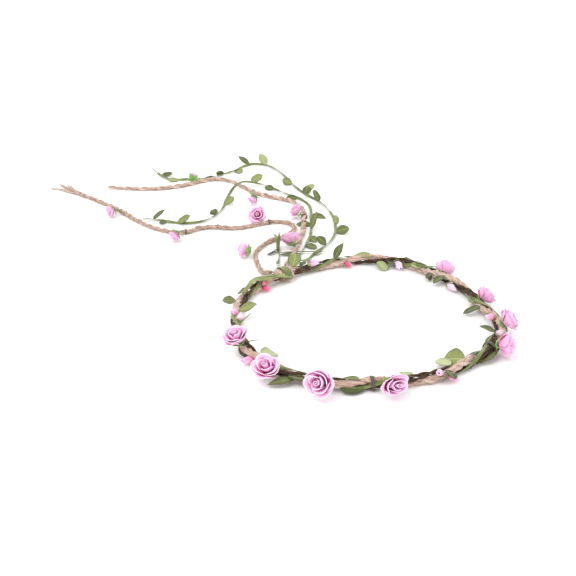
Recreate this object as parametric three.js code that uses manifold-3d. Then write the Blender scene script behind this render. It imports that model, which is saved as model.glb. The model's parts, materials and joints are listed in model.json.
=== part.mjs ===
// Flower crown: a twisted ring of brown vine, jute rope and leaf ribbon, knotted at the back,
// with foam roses and buds, and loose jute and ribbon tails that lie on the table behind it.
// Millimetres, +Z up. The ring lies flat on z = 0 round the origin, with its knot towards +Y.

import * as THREE from "three";
import { mergeVertices } from "three/addons/utils/BufferGeometryUtils.js";
import Module from "manifold-3d";

const wasm = await Module();
wasm.setup();

// ---- driving dimensions --------------------------------------------------------------------

// Radius of the ring's centreline at every 20 degrees of azimuth, counted from +X towards +Y.
const RING_RADII = [94, 98, 104, 100, 93, 92, 94, 94, 94, 96, 97, 95, 91, 91, 92, 95, 97, 91];
const RADII_STEP = 360 / RING_RADII.length;
const RING_HEIGHT = 3.9;
const KNOT_AZIMUTH = 98;
const KNOT_LIFT = 1.2;
const KNOT_LIFT_SPREAD = 15;

const TWISTS = 8;
const TWIST_START = 20;
const RING_STEPS = 80;
const SEAM_HALF_ANGLE = 0.4;

// Each strand's distance from the middle of the bundle, its phase round it, and its thickness.
const WIRE = { offset: 1.3, phase: 166, radius: 0.5, sides: 5 };
const JUTE = { offset: 1.9, phase: 0, radius: 2.5, sides: 8 };
const VINE_A = { offset: 2.7, phase: 136, radius: 1.15, sides: 5 };
const VINE_B = { offset: 2.7, phase: 196, radius: 1.15, sides: 5 };
const RIBBON = { offset: 3, phase: 256, radius: 1.2, sides: 4 };
const BUNDLE_CLEAR = 5.2;

const TAIL_RADIUS = 2.1;
const VINE_TAIL_RADIUS = 1.3;
const TAIL_LEAF_SLENDER = 0.52;
const TAIL_LEAF_SPREAD = 50;
const GAP = 0.35;

// Brings the middle of the ring, with its roses and leaves, to the origin.
const CENTRING = [1.9, 4.1, 0];

const ROSE_RADIUS = 10.3;
const PETALS = 5;
const STALK_RADIUS = 0.7;
const BUD_STALK = { radius: 0.6, length: 0.9 };
const LEAF_THICKNESS = 0.6;
const PETIOLE_RADIUS = 0.5;
const PETIOLE_RISE = 0.9;
const BLADE_RISE = 0.6;
const LOWEST_ROOT = -32;
const UPRIGHT = new THREE.Vector3(0, 0, 1);

// ---- materials -----------------------------------------------------------------------------

function finish(colour, roughness) {
  return new THREE.MeshStandardMaterial({ color: colour, roughness, metalness: 0 });
}

const STEEL = new THREE.MeshStandardMaterial({ color: 0x8d8f92, roughness: 0.4, metalness: 0.9 });
const BARK = finish(0x3a1f17, 0.8);
const JUTE_FIBRE = finish(0xc9a088, 0.95);
const RIBBON_GREEN = finish(0x6f8245, 0.75);
const FOAM_PINK = finish(0xf4b6dc, 0.7);
const BUD_PINK = finish(0xe55c9c, 0.65);
const BUD_HOT = finish(0xd2285a, 0.65);
const BUD_PALE = finish(0xf2c2e0, 0.65);
const CALYX_GREEN = finish(0x5d9a3c, 0.7);

// ---- the ring's curve ----------------------------------------------------------------------

const rad = THREE.MathUtils.degToRad;

/** Smooth radius of the centreline, by a closed cubic through RING_RADII. */
function ringRadius(azimuth) {
  const place = THREE.MathUtils.euclideanModulo(azimuth, 360) / RADII_STEP;
  const index = Math.floor(place);
  const f = place - index;
  const count = RING_RADII.length;
  const [a, b, c, d] = [-1, 0, 1, 2].map((k) => RING_RADII[(index + k + count) % count]);
  const cubic = 3 * (b - c) + d - a;
  const square = 2 * a - 5 * b + 4 * c - d;
  return 0.5 * (2 * b + (c - a) * f + square * f * f + cubic * f * f * f);
}

/** Point on the centreline. It rises a little where the knot's turns pass under the bundle. */
function ringPoint(azimuth) {
  const past = THREE.MathUtils.euclideanModulo(azimuth - KNOT_AZIMUTH + 180, 360) - 180;
  const away = past / KNOT_LIFT_SPREAD;
  const height = RING_HEIGHT + KNOT_LIFT * Math.exp(-away * away);
  const angle = rad(azimuth);
  const radius = ringRadius(azimuth);
  return new THREE.Vector3(radius * Math.cos(angle), radius * Math.sin(angle), height);
}

/** Unit vectors at one azimuth: along the ring, outwards, and up. */
function ringFrame(azimuth) {
  const along = ringPoint(azimuth + 0.5).sub(ringPoint(azimuth - 0.5)).normalize();
  const up = new THREE.Vector3(0, 0, 1);
  const out = new THREE.Vector3().crossVectors(along, up).normalize();
  return { centre: ringPoint(azimuth), along, out, up: new THREE.Vector3().crossVectors(out, along) };
}

/** Point at a distance from the bundle's middle; side 0 is outwards, 90 is up, 180 is inwards. */
function besideRing(azimuth, distance, side) {
  const frame = ringFrame(azimuth);
  return frame.centre
    .addScaledVector(frame.out, distance * Math.cos(rad(side)))
    .addScaledVector(frame.up, distance * Math.sin(rad(side)));
}

function twistAt(azimuth) {
  return TWIST_START + TWISTS * azimuth;
}

// ---- solids --------------------------------------------------------------------------------

function polygonShape(radius, sides) {
  const points = [];
  for (let i = 0; i < sides; i += 1) {
    const angle = (2 * Math.PI * (i + 0.5)) / sides;
    points.push(new THREE.Vector2(radius * Math.cos(angle), radius * Math.sin(angle)));
  }
  return new THREE.Shape(points);
}

/** Merges shared vertices, so that the geometry is one closed body. */
function closed(geometry) {
  geometry.deleteAttribute("normal");
  geometry.deleteAttribute("uv");
  return mergeVertices(geometry, 1e-4);
}

function tube(points, radius, sides, steps) {
  const extrudePath = new THREE.CatmullRomCurve3(points);
  const options = { steps, bevelEnabled: false, extrudePath };
  return closed(new THREE.ExtrudeGeometry(polygonShape(radius, sides), options));
}

function lathe(profile, segments) {
  const points = profile.map(([radius, height]) => new THREE.Vector2(radius, height));
  return closed(new THREE.LatheGeometry(points, segments));
}

/** Joins closed geometries into one solid. */
function joined(geometries) {
  const solids = geometries.map((geometry) => {
    const mesh = new wasm.Mesh({
      numProp: 3,
      vertProperties: Float32Array.from(geometry.attributes.position.array),
      triVerts: Uint32Array.from(geometry.index.array),
    });
    return new wasm.Manifold(mesh);
  });
  const result = solids.reduce((sum, solid) => sum.add(solid)).getMesh();
  const geometry = new THREE.BufferGeometry();
  geometry.setAttribute("position", new THREE.BufferAttribute(result.vertProperties, 3));
  geometry.setIndex(new THREE.BufferAttribute(result.triVerts, 1));
  return geometry;
}

/** Flattens what would pass below the table, as soft rope does where it rests. */
function rested(geometry) {
  const position = geometry.attributes.position;
  for (let i = 0; i < position.count; i += 1) {
    position.setZ(i, Math.max(position.getZ(i), 0));
  }
  return geometry;
}

/** Turns a geometry made along +Y to face a direction, and moves its base to a point. */
function facing(geometry, base, direction) {
  const turn = new THREE.Quaternion().setFromUnitVectors(new THREE.Vector3(0, 1, 0), direction);
  return geometry.applyQuaternion(turn).translate(base.x, base.y, base.z);
}

function direction(azimuth, elevation) {
  const level = Math.cos(rad(elevation));
  const heading = rad(azimuth);
  return new THREE.Vector3(level * Math.cos(heading), level * Math.sin(heading), Math.sin(rad(elevation)));
}

// ---- strands of the ring -------------------------------------------------------------------

function strandPoints(strand, steps) {
  const points = [];
  const sweep = 360 - 2 * SEAM_HALF_ANGLE;
  for (let i = 0; i <= steps; i += 1) {
    const azimuth = KNOT_AZIMUTH + SEAM_HALF_ANGLE + (sweep * i) / steps;
    points.push(besideRing(azimuth, strand.offset, twistAt(azimuth) + strand.phase));
  }
  return points;
}

function strandSolid(strand) {
  return rested(tube(strandPoints(strand, RING_STEPS), strand.radius, strand.sides, RING_STEPS));
}

// ---- leaves --------------------------------------------------------------------------------

/** Flat leaf blade: base at the origin, tip along +Y, width along X. */
function leafBlade(length, width) {
  const half = width / 2;
  const outline = new THREE.Shape();
  outline.moveTo(-0.4, 0);
  outline.quadraticCurveTo(-half * 1.45, length * 0.42, 0, length);
  outline.quadraticCurveTo(half * 1.45, length * 0.42, 0.4, 0);
  outline.closePath();
  const options = { depth: LEAF_THICKNESS, bevelEnabled: false, curveSegments: 3 };
  return closed(new THREE.ExtrudeGeometry(outline, options).translate(0, 0, -LEAF_THICKNESS / 2));
}

function placedBlade(length, width, base, tipDirection, widthDirection) {
  const normal = new THREE.Vector3().crossVectors(widthDirection, tipDirection);
  const basis = new THREE.Matrix4().makeBasis(widthDirection, tipDirection, normal);
  return leafBlade(length, width).applyMatrix4(basis).translate(base.x, base.y, base.z);
}

const RING_LEAVES = [
  // azimuth and side round the bundle, where the tip points (heading, lift), roll, length, width
  { azimuth: -23, side: 150, face: [175, -8], roll: 0, length: 15, width: 7 },
  { azimuth: -49, side: 125, face: [99, -5], roll: -65, length: 13, width: 6 },
  { azimuth: -50, side: 160, face: [-163, -14], roll: -30, length: 13, width: 6 },
  { azimuth: -69, side: -5, face: [-150, 4], roll: -15, length: 18, width: 12 },
  { azimuth: -78, side: 150, face: [3, 12], roll: 20, length: 15, width: 5 },
  { azimuth: -79, side: 110, face: [122, -6], roll: 22, length: 16, width: 17 },
  { azimuth: -86, side: 150, face: [100, -6], roll: 10, length: 14, width: 9 },
  { azimuth: -91, side: 65, face: [-103, -2], roll: 20, length: 12.5, width: 8 },
  { azimuth: -106, side: 60, face: [96, -6], roll: -5, length: 15, width: 7 },
  { azimuth: 11, side: 125, face: [-176, -13], roll: 0, length: 12, width: 7 },
  { azimuth: 137, side: 60, face: [140, 5], roll: -65, length: 10.5, width: 10 },
  { azimuth: 144.5, side: 120, face: [-45, 28], roll: -25, length: 15, width: 9 },
  { azimuth: 126, side: 85, face: [100, -20], roll: 30, length: 11, width: 7 },
  { azimuth: 69, side: 120, face: [-10, 66], roll: -10, length: 16, width: 9 },
  { azimuth: 49, side: 100, face: [144, 4], roll: 10, length: 17, width: 8 },
  { azimuth: 47, side: 180, face: [-100, -8], roll: 5, length: 13, width: 10 },
  { azimuth: 36, side: 60, face: [-16, -20], roll: -15, length: 13, width: 5 },
  { azimuth: 31, side: 145, face: [-62, 2], roll: -20, length: 14, width: 8 },
  { azimuth: 20, side: 180, face: [-124, -12], roll: 25, length: 9, width: 5 },
  { azimuth: 87, side: 70, face: [25, 40], roll: -10, length: 11, width: 9 },
  { azimuth: -173, side: 125, face: [12, -12], roll: -10, length: 14, width: 12 },
  { azimuth: -153, side: -15, face: [160, 5], roll: 10, length: 18, width: 7 },
  { azimuth: -136, side: -12, face: [-38, 0], roll: -28, length: 17, width: 10 },
  { azimuth: -127, side: 80, face: [150, 12], roll: 0, length: 13, width: 5 },
];

/** Angle round the bundle counted from its underside, so that a turn never passes below it. */
function sideFromBelow(angle) {
  return THREE.MathUtils.euclideanModulo(angle + 90, 360) - 90;
}

/** Root of a leaf on the twisted ribbon: the nearby azimuth where the ribbon faces the leaf best. */
function leafRoot(azimuth, side) {
  let best = { misfit: Infinity };
  for (let shift = -9; shift <= 9; shift += 1.5) {
    const phase = sideFromBelow(twistAt(azimuth + shift) + RIBBON.phase);
    const turn = sideFromBelow(side) - phase;
    const misfit = Math.abs(turn) + 2 * Math.abs(shift);
    if (misfit < best.misfit && phase > LOWEST_ROOT && phase < 180 - LOWEST_ROOT) {
      best = { misfit, azimuth: azimuth + shift, phase, turn };
    }
  }
  return best;
}

/** Stalk that leaves the ribbon, passes round the bundle and ends under its leaf. */
function petiole(azimuth, side) {
  const root = leafRoot(azimuth, side);
  const points = [besideRing(root.azimuth, RIBBON.offset, root.phase)];
  const stops = 4;
  for (let i = 0; i <= stops; i += 1) {
    const f = i / stops;
    const place = root.azimuth + (azimuth - root.azimuth) * f;
    points.push(besideRing(place, BUNDLE_CLEAR + PETIOLE_RISE * f, root.phase + root.turn * f));
  }
  return tube(points, PETIOLE_RADIUS, 3, 5);
}

/** Direction across a blade whose tip points along tip, turned by roll from level. */
function acrossBlade(tip, roll) {
  const level = new THREE.Vector3().crossVectors(tip, UPRIGHT).normalize();
  return level.applyAxisAngle(tip, rad(roll));
}

function ringLeaf({ azimuth, side, face, roll, length, width }) {
  const tip = direction(...face);
  const base = besideRing(azimuth, BUNDLE_CLEAR + BLADE_RISE, side);
  return placedBlade(length, width, base, tip, acrossBlade(tip, roll));
}

function leafRibbonSolid() {
  const pieces = [strandSolid(RIBBON)];
  for (const leaf of RING_LEAVES) {
    pieces.push(petiole(leaf.azimuth, leaf.side));
    pieces.push(ringLeaf(leaf));
  }
  return joined(pieces);
}

// ---- knot ----------------------------------------------------------------------------------

/** Turns of cord wound round the bundle, over an ellipse with half sizes across and tall. */
function windingSolid({ azimuth, across, tall, radius, turns, pitch, start, sides, stepsPerTurn }) {
  const frame = ringFrame(azimuth);
  const steps = Math.round(turns * stepsPerTurn);
  const points = [];
  for (let i = 0; i <= steps; i += 1) {
    const turn = i / stepsPerTurn;
    const angle = rad(start + 360 * turn);
    const point = frame.centre.clone().addScaledVector(frame.along, pitch * (turn - turns / 2));
    point.addScaledVector(frame.out, across * Math.cos(angle));
    point.addScaledVector(frame.up, tall * Math.sin(angle));
    points.push(point);
  }
  return rested(tube(points, radius, sides, steps));
}

const JUTE_TURNS = {
  azimuth: KNOT_AZIMUTH, across: 7, tall: 6.1, radius: 1.4, turns: 2.2, pitch: 4.4, start: 60,
  sides: 7, stepsPerTurn: 12,
};
const RIBBON_TURNS = {
  azimuth: KNOT_AZIMUTH + 7, across: 6.8, tall: 5.9, radius: 1.1, turns: 1.2, pitch: 3, start: 70,
  sides: 5, stepsPerTurn: 12,
};

// The knot's ribbon runs on along the bundle: azimuth, distance and side.
const RIBBON_BAND = [
  [106, 6.6, 122], [109, 6.5, 128], [113, 6.5, 115], [118, 6.6, 98],
];

function knotRibbonSolid() {
  const band = RIBBON_BAND.map((place) => besideRing(...place));
  return joined([windingSolid(RIBBON_TURNS), tube(band, RIBBON_TURNS.radius, 5, 8)]);
}

// ---- roses and buds ------------------------------------------------------------------------

/** Foam bloom, base on the origin and face along +Y, with five petal lobes. */
function bloomSolid(size, depth) {
  const radius = ROSE_RADIUS * size;
  const profile = [
    [0, 0], [0.5, 0], [0.86, 0.2], [1, 0.56], [0.93, 0.82], [0.7, 0.9], [0.55, 0.84], [0.4, 0.97], [0, 1],
  ].map(([r, h]) => [r * radius, h * depth]);
  const geometry = lathe(profile, 2 * PETALS);
  const position = geometry.attributes.position;
  for (let i = 0; i < position.count; i += 1) {
    const angle = Math.atan2(position.getZ(i), position.getX(i));
    const lobe = 1 - 0.05 * (1 - Math.cos(PETALS * angle)) * (position.getY(i) / depth);
    position.setX(i, position.getX(i) * lobe);
    position.setZ(i, position.getZ(i) * lobe);
  }
  return geometry;
}

// Calyx cup, from its stalk up to the bloom: radius and height for a rose of size 1.
const CALYX_PROFILE = [[0, -1.6], [0.9, -1.6], [2.6, -1.2], [4.6, -0.3], [4.4, 0], [0, 0]];
const CALYX_DEPTH = 1.6;

/** Green calyx under a bloom, with the stalk that reaches its strand. */
function calyxSolid(size, base, face, root) {
  const cup = facing(lathe(CALYX_PROFILE.map(([r, h]) => [r * size, h * size]), 7), base, face);
  const bottom = base.clone().addScaledVector(face, -0.6 * CALYX_DEPTH * size);
  const bend = bottom.clone().addScaledVector(face, -CALYX_DEPTH * size).lerp(root, 0.2);
  if (bottom.distanceTo(root) < CALYX_DEPTH * size) {
    return cup;
  }
  return joined([cup, tube([bottom, bend, root], STALK_RADIUS, 5, 4)]);
}

const RING_ROSES = [
  // centre of the bloom beside the ring (azimuth, outward, height), and where it faces
  { azimuth: 177, out: 8.2, height: 16, face: [190, 70], size: 0.8, depth: 10.5 },
  { azimuth: -162, out: 11.4, height: 12.4, face: [-150, 56], size: 0.92, depth: 11.5 },
  { azimuth: -142, out: 14.6, height: 12.8, face: [-150, 26], size: 0.95, depth: 11.5 },
  { azimuth: -116, out: 13.6, height: 11, face: [-92, 24], size: 0.8, depth: 12.5 },
  { azimuth: -61, out: 12.6, height: 10.5, face: [-42, 10], size: 0.8, depth: 11.5 },
  { azimuth: -43, out: 8.6, height: 12.8, face: [-34, 38], size: 0.78, depth: 10 },
  { azimuth: -17, out: 9.4, height: 10.2, face: [-10, 40], size: 0.74, depth: 9.5 },
  { azimuth: 15, out: 9.4, height: 9.8, face: [32, 36], size: 0.78, depth: 9.5 },
];

const TAIL_ROSES = [
  // cord point that holds the rose, and the bloom's centre and facing
  { root: [-9, 149], centre: [-18, 147, 7], face: [152, -4], size: 0.58, depth: 8 },
  { root: [43, 199], centre: [32, 209, 8.2], face: [222, 24], size: 0.72, depth: 8.5 },
  { root: [-42, 221], centre: [-53, 208, 6.2], face: [200, -26], size: 0.5, depth: 7 },
  { root: [-66, 301], centre: [-79, 293, 6.6], face: [175, -12], size: 0.54, depth: 7.5 },
  { root: [29, 138], centre: [26, 142, 10.5], face: [80, 45], size: 0.72, depth: 9 },
  { root: [72, 192], centre: [67, 199, 8.8], face: [130, 35], size: 0.64, depth: 8.5 },
  { root: [64.6, 282], centre: [50, 250, 6.4], face: [215, -26], size: 0.46, depth: 7 },
  { root: [34, 334], centre: [31, 339, 8.2], face: [70, 24], size: 0.42, depth: 6 },
];

const BUDS = [
  // azimuth and side round the bundle, where the tip points (heading, lift), radius, length, finish
  { name: "pale_bud_back", azimuth: 36, side: 184, face: [-110, -8], radius: 3.1, length: 10,
    finish: BUD_PALE },
  { name: "hot_bud_back", azimuth: 62.5, side: 188, face: [-60, 0], radius: 2.2, length: 7,
    finish: BUD_HOT },
  { name: "pink_bud_back", azimuth: 81, side: 118, face: [-30, 4], radius: 2.6, length: 8.5,
    finish: BUD_PINK },
  { name: "hot_bud_upper", azimuth: 114, side: 150, face: [210, -10], radius: 2, length: 5,
    finish: BUD_HOT },
  { name: "hot_bud_lower", azimuth: 114, side: 195, face: [-50, -5], radius: 2.2, length: 6.5,
    finish: BUD_HOT },
  { name: "pink_bud_left_a", azimuth: 150.5, side: 66, face: [120, 60], radius: 2, length: 6,
    finish: BUD_PINK },
  { name: "pink_bud_left_b", azimuth: 154.5, side: 128, face: [40, 60], radius: 2.3, length: 6.5,
    finish: BUD_PALE },
  { name: "hot_bud_front_left", azimuth: -175, side: -5, face: [160, 8], radius: 2.7, length: 8,
    finish: BUD_PINK },
  { name: "pink_bud_front", azimuth: -96, side: 45, face: [-140, 25], radius: 2.4, length: 6.5,
    finish: BUD_PINK },
  { name: "pink_flower_front", azimuth: -90, side: -5, face: [-65, -12], radius: 2.7, length: 6.5,
    finish: BUD_PINK },
  { name: "pink_bud_right", azimuth: -36, side: 145, face: [140, 5], radius: 2.5, length: 7.5,
    finish: BUD_PINK },
  { name: "pale_bud_right", azimuth: 2, side: 186, face: [-88, -12], radius: 2.6, length: 9.5,
    finish: BUD_PALE },
  { name: "white_bud_right", azimuth: -53.5, side: 75, face: [-50, 45], radius: 2, length: 5.5,
    finish: BUD_PALE },
];

/** Bud with its stalk: an egg on a short wire, just clear of the bundle. */
function budSolid({ azimuth, side, face, radius, length }) {
  const tip = direction(...face);
  const away = besideRing(azimuth, 1, side).sub(besideRing(azimuth, 0, side));
  const lean = tip.dot(away);
  const reach = Math.hypot(radius * Math.sqrt(1 - lean * lean), (length / 2 + BUD_STALK.length) * lean);
  const centre = besideRing(azimuth, BUNDLE_CLEAR + reach, side);
  centre.setZ(Math.max(centre.z, radius + GAP));
  const base = centre.addScaledVector(tip, -length / 2);
  const profile = [
    [0, -BUD_STALK.length], [BUD_STALK.radius, -BUD_STALK.length], [BUD_STALK.radius, 0],
    [0.85 * radius, length * 0.2], [radius, length * 0.5], [0.7 * radius, length * 0.85], [0, length],
  ];
  return facing(lathe(profile, 7), base, tip);
}

// ---- tails ---------------------------------------------------------------------------------

// Routes are hand-chosen points on the table, from the knot outwards.
const JUTE_TAILS = {
  jute_tail_frayed: [
    [-20, 99, 6], [-22, 106, 3.4], [-20, 116, 2.1], [-14, 132, 2.1], [-6, 147, 2.1], [4, 155, 2.1],
    [16, 161, 2.1], [28, 163, 2.1], [40, 166, 2.1], [50, 174, 2.1], [54, 185, 2.1], [49, 195, 2.1],
    [39, 200, 2.1], [27, 201, 2.1], [12, 202, 2.1], [0, 208, 2.1], [-10, 217, 2.1], [-22, 221, 2.1],
    [-35, 219, 2.1], [-47, 227, 2.1], [-56, 242, 2.1], [-61, 261, 2.1], [-64, 281, 2.1],
    [-66, 301, 2.1], [-71, 324, 2.1], [-76, 344, 2.1], [-82, 364, 2.1], [-87, 384, 2.1], [-90, 402, 2.1],
  ],
  jute_tail_blunt: [
    [-2, 104, 6], [3, 110, 4], [11, 119, 2.3], [23, 131, 2.1], [39, 148, 2.1], [54, 166, 2.1],
    [68, 186, 2.1], [80, 204, 2.1], [86, 222, 2.1], [85, 238, 2.1], [78, 252, 2.1], [71, 266, 2.1],
    [67, 284, 2.1], [66, 303, 2.1], [63, 321, 2.1], [53, 333, 2.1], [38, 335, 2.1], [22, 333, 2.1],
    [6, 334, 2.1], [-10, 338, 2.1], [-24, 346, 2.1], [-38, 357, 2.1], [-51, 368, 2.1],
  ],
};

const VINE_TAILS = {
  ribbon_tail_short: {
    route: [
      [-10, 105, 9], [-7, 111, 5.5], [-2, 118, 2.4], [5, 127, 1.4], [11, 136, 1.4], [15, 145, 1.9],
      [19, 153, 4.4], [22, 161, 6.2], [25, 168, 4.6], [29, 175, 1.6],
    ],
    leaves: [[8, -1, 13, 35], [17, 1, 11, 12], [30, 1, 9, 8]],
  },
  ribbon_tail_long: {
    route: [
      [8, 100, 9], [15, 104, 5.5], [24, 111, 2.2], [35, 119, 1.4], [47, 125, 1.4], [62, 134, 1.4],
      [77, 148, 1.4], [90, 167, 1.4], [100, 187, 1.4], [106, 205, 1.4], [109, 224, 1.4],
      [109, 243, 1.4], [111, 264, 1.4], [116, 286, 1.4], [121, 308, 1.4], [124, 328, 1.4],
      [122, 346, 1.4], [112, 357, 1.4], [98, 354, 1.4], [84, 347, 1.4], [70, 344, 1.4],
      [57, 342, 1.4], [46, 341.5, 1.4], [38, 345, 1.4], [30, 349, 1.4], [21, 352.5, 1.4],
      [14, 358.5, 1.4], [11, 369, 1.4], [11, 384, 1.4],
    ],
    leaves: [
      [40, -1, 10, 10], [58, 1, 11, 10], [88, -1, 13, 10], [112, -1, 12, 10], [184, -1, 12, 10],
      [204, -1, 13, 10], [215, 1, 11, 10], [234, 1, 11, 10], [296, -1, 13, 14], [309, -1, 11, 30],
      [326, 1, 13, 10], [346, -1, 9, 10], [404, -1, 10, 10], [428, -1, 11, 10],
    ],
  },
  ribbon_tail_middle: {
    route: [
      [3, 100, 12.5], [9, 108, 8], [16, 116, 3.4], [26, 126, 1.4], [40, 139, 1.4], [54, 154, 1.4],
      [67, 172, 1.4], [80, 192, 1.4], [90, 208, 1.4], [96, 222, 1.4], [97, 238, 1.4], [94, 254, 1.4],
      [91, 272, 1.4], [86, 289, 2.2], [77, 297, 4.6], [66, 299, 6.2], [55, 295, 4.4], [44, 286, 1.6],
      [32, 271, 1.4], [19, 254, 1.4], [4, 242, 1.4], [-12, 236, 1.4], [-27, 240, 1.4], [-38, 251, 1.4],
      [-47, 263, 1.4], [-56, 273, 1.4],
    ],
    leaves: [
      [58, -1, 12, 10], [80, -1, 10, 10], [98, -1, 12, 10], [120, -1, 9, 10], [166, -1, 9, 10],
      [206, 1, 11, 10], [228, -1, 13, 8], [262, -1, 10, 8], [297, -1, 11, 10], [314, 1, 9, 10],
      [336, -1, 11, 10], [362, -1, 12, 10], [386, 1, 9, 10], [398, -1, 11, 10],
    ],
  },
};

function routeCurve(route) {
  return new THREE.CatmullRomCurve3(route.map(([x, y, z]) => new THREE.Vector3(x, y, z)));
}

function cordSolid(route, radius, sides, stepLength) {
  const curve = routeCurve(route);
  const steps = Math.round(curve.getLength() / stepLength);
  return rested(tube(curve.points, radius, sides, steps));
}

/** A leaf on a tail: its distance along the ribbon, its side (1 is left), its length and its lift. */
function tailLeaf(curve, [distance, side, length, lift]) {
  const place = distance / curve.getLength();
  const root = curve.getPointAt(place);
  const along = curve.getTangentAt(place).setZ(0).normalize();
  const across = new THREE.Vector3(-along.y, along.x, 0).multiplyScalar(side);
  const spread = rad(TAIL_LEAF_SPREAD);
  const tip = along.clone().multiplyScalar(Math.cos(spread)).addScaledVector(across, Math.sin(spread));
  tip.setZ(Math.tan(rad(lift))).normalize();
  return placedBlade(length + VINE_TAIL_RADIUS, length * TAIL_LEAF_SLENDER, root, tip, acrossBlade(tip, 0));
}

function vineTailSolid({ route, leaves }) {
  const curve = routeCurve(route);
  return joined([
    cordSolid(route, VINE_TAIL_RADIUS, 6, 6.5),
    ...leaves.map((leaf) => tailLeaf(curve, leaf)),
  ]);
}

// ---- assembly ------------------------------------------------------------------------------

const crown = new THREE.Group();
crown.position.set(...CENTRING);

function add(name, geometry, material, parent = crown) {
  geometry.computeVertexNormals();
  const mesh = new THREE.Mesh(geometry, material);
  mesh.name = name;
  parent.add(mesh);
}

const ring = new THREE.Group();
crown.add(ring);
add("frame_wire", strandSolid(WIRE), STEEL, ring);
add("jute_ring_strand", strandSolid(JUTE), JUTE_FIBRE, ring);
add("brown_vine_a", strandSolid(VINE_A), BARK, ring);
add("brown_vine_b", strandSolid(VINE_B), BARK, ring);
add("leaf_ribbon", leafRibbonSolid(), RIBBON_GREEN, ring);
add("knot_jute_turns", windingSolid(JUTE_TURNS), JUTE_FIBRE, ring);
add("knot_ribbon_turn", knotRibbonSolid(), RIBBON_GREEN, ring);

/** Bloom and calyx of one rose, centred on a point and held from a root. */
function addRose(name, { face, size, depth }, centre, holder, clear, parent) {
  const front = direction(...face);
  const base = centre.clone().addScaledVector(front, -depth / 2);
  const seat = base.clone().addScaledVector(front, -GAP);
  const root = seat.clone().sub(holder).setLength(clear).add(holder);
  add(`${name}_bloom`, facing(bloomSolid(size, depth), base, front), FOAM_PINK, parent);
  add(`${name}_calyx`, calyxSolid(size, seat, front, root), CALYX_GREEN, parent);
}

RING_ROSES.forEach((rose, index) => {
  const frame = ringFrame(rose.azimuth);
  const centre = frame.centre.clone().addScaledVector(frame.out, rose.out).setZ(rose.height);
  addRose(`ring_rose_${index + 1}`, rose, centre, frame.centre, BUNDLE_CLEAR, ring);
});

BUDS.forEach((bud) => add(bud.name, budSolid(bud), bud.finish, ring));

const tails = new THREE.Group();
crown.add(tails);
for (const [name, route] of Object.entries(JUTE_TAILS)) {
  add(name, cordSolid(route, TAIL_RADIUS, 8, 10), JUTE_FIBRE, tails);
}
for (const [name, tail] of Object.entries(VINE_TAILS)) {
  add(name, vineTailSolid(tail), RIBBON_GREEN, tails);
}
TAIL_ROSES.forEach((rose, index) => {
  const cord = new THREE.Vector3(...rose.root, TAIL_RADIUS + STALK_RADIUS);
  const centre = new THREE.Vector3(...rose.centre);
  addRose(`tail_rose_${index + 1}`, rose, centre, cord, TAIL_RADIUS + STALK_RADIUS + GAP, tails);
});

export default crown;
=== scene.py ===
"""Flower crown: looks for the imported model. Metres, +Z up, knot and tails towards +Y."""

import json
import math

import bpy
import numpy as np
from mathutils import Matrix, Vector

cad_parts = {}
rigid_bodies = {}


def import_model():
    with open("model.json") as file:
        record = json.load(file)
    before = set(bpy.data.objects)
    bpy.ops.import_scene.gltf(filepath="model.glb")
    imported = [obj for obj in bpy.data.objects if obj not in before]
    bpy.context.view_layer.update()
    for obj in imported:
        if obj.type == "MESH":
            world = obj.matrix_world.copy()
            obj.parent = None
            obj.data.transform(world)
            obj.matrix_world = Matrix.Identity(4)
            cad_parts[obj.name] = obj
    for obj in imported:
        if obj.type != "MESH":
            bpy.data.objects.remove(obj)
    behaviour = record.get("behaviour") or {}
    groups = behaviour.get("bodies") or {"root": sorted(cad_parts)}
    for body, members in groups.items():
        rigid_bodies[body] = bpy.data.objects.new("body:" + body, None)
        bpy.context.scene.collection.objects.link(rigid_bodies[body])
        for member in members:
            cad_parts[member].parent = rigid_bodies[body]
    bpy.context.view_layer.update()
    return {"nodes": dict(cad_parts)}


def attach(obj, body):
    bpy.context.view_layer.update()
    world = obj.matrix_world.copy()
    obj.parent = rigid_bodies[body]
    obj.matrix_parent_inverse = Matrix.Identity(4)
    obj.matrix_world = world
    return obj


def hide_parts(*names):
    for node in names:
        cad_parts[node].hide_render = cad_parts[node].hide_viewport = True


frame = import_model()

MM = 0.001
CENTRING = np.array([1.9, 4.1, 0.0]) * MM

# ---- camera --------------------------------------------------------------------------------

CAMERA_PLACE = Vector((-0.3537, -0.4601, 0.3128))
CAMERA_LOOK = Vector((0.47588, 0.76157, -0.43994))
CAMERA_LENS = 56.25


def make_camera():
    data = bpy.data.cameras.new("camera")
    data.lens = CAMERA_LENS
    data.sensor_width = 36
    camera = bpy.data.objects.new("camera", data)
    camera.location = CAMERA_PLACE
    camera.rotation_euler = CAMERA_LOOK.to_track_quat("-Z", "Y").to_euler()
    bpy.context.collection.objects.link(camera)
    bpy.context.scene.camera = camera


make_camera()

# ---- curves --------------------------------------------------------------------------------

RING_RADII = [94, 98, 104, 100, 93, 92, 94, 94, 94, 96, 97, 95, 91, 91, 92, 95, 97, 91]
RADII_STEP = 360 / len(RING_RADII)
RING_HEIGHT = 4.5
KNOT_AZIMUTH = 98
KNOT_LIFT = 1.0
KNOT_LIFT_SPREAD = 15
TWISTS = 8
TWIST_START = 20
BUNDLE_REACH = 4.4
JUTE_OFFSET, JUTE_PHASE = 1.9, 0
VINE_OFFSET = 2.7
RIBBON_OFFSET, RIBBON_PHASE = 2.9, 256
KNOT_SQUEEZE = 0.3


def unit(vectors):
    """Vectors of length one, along the last axis."""
    vectors = np.asarray(vectors, float)
    return vectors / np.linalg.norm(vectors, axis=-1, keepdims=True)


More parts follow.
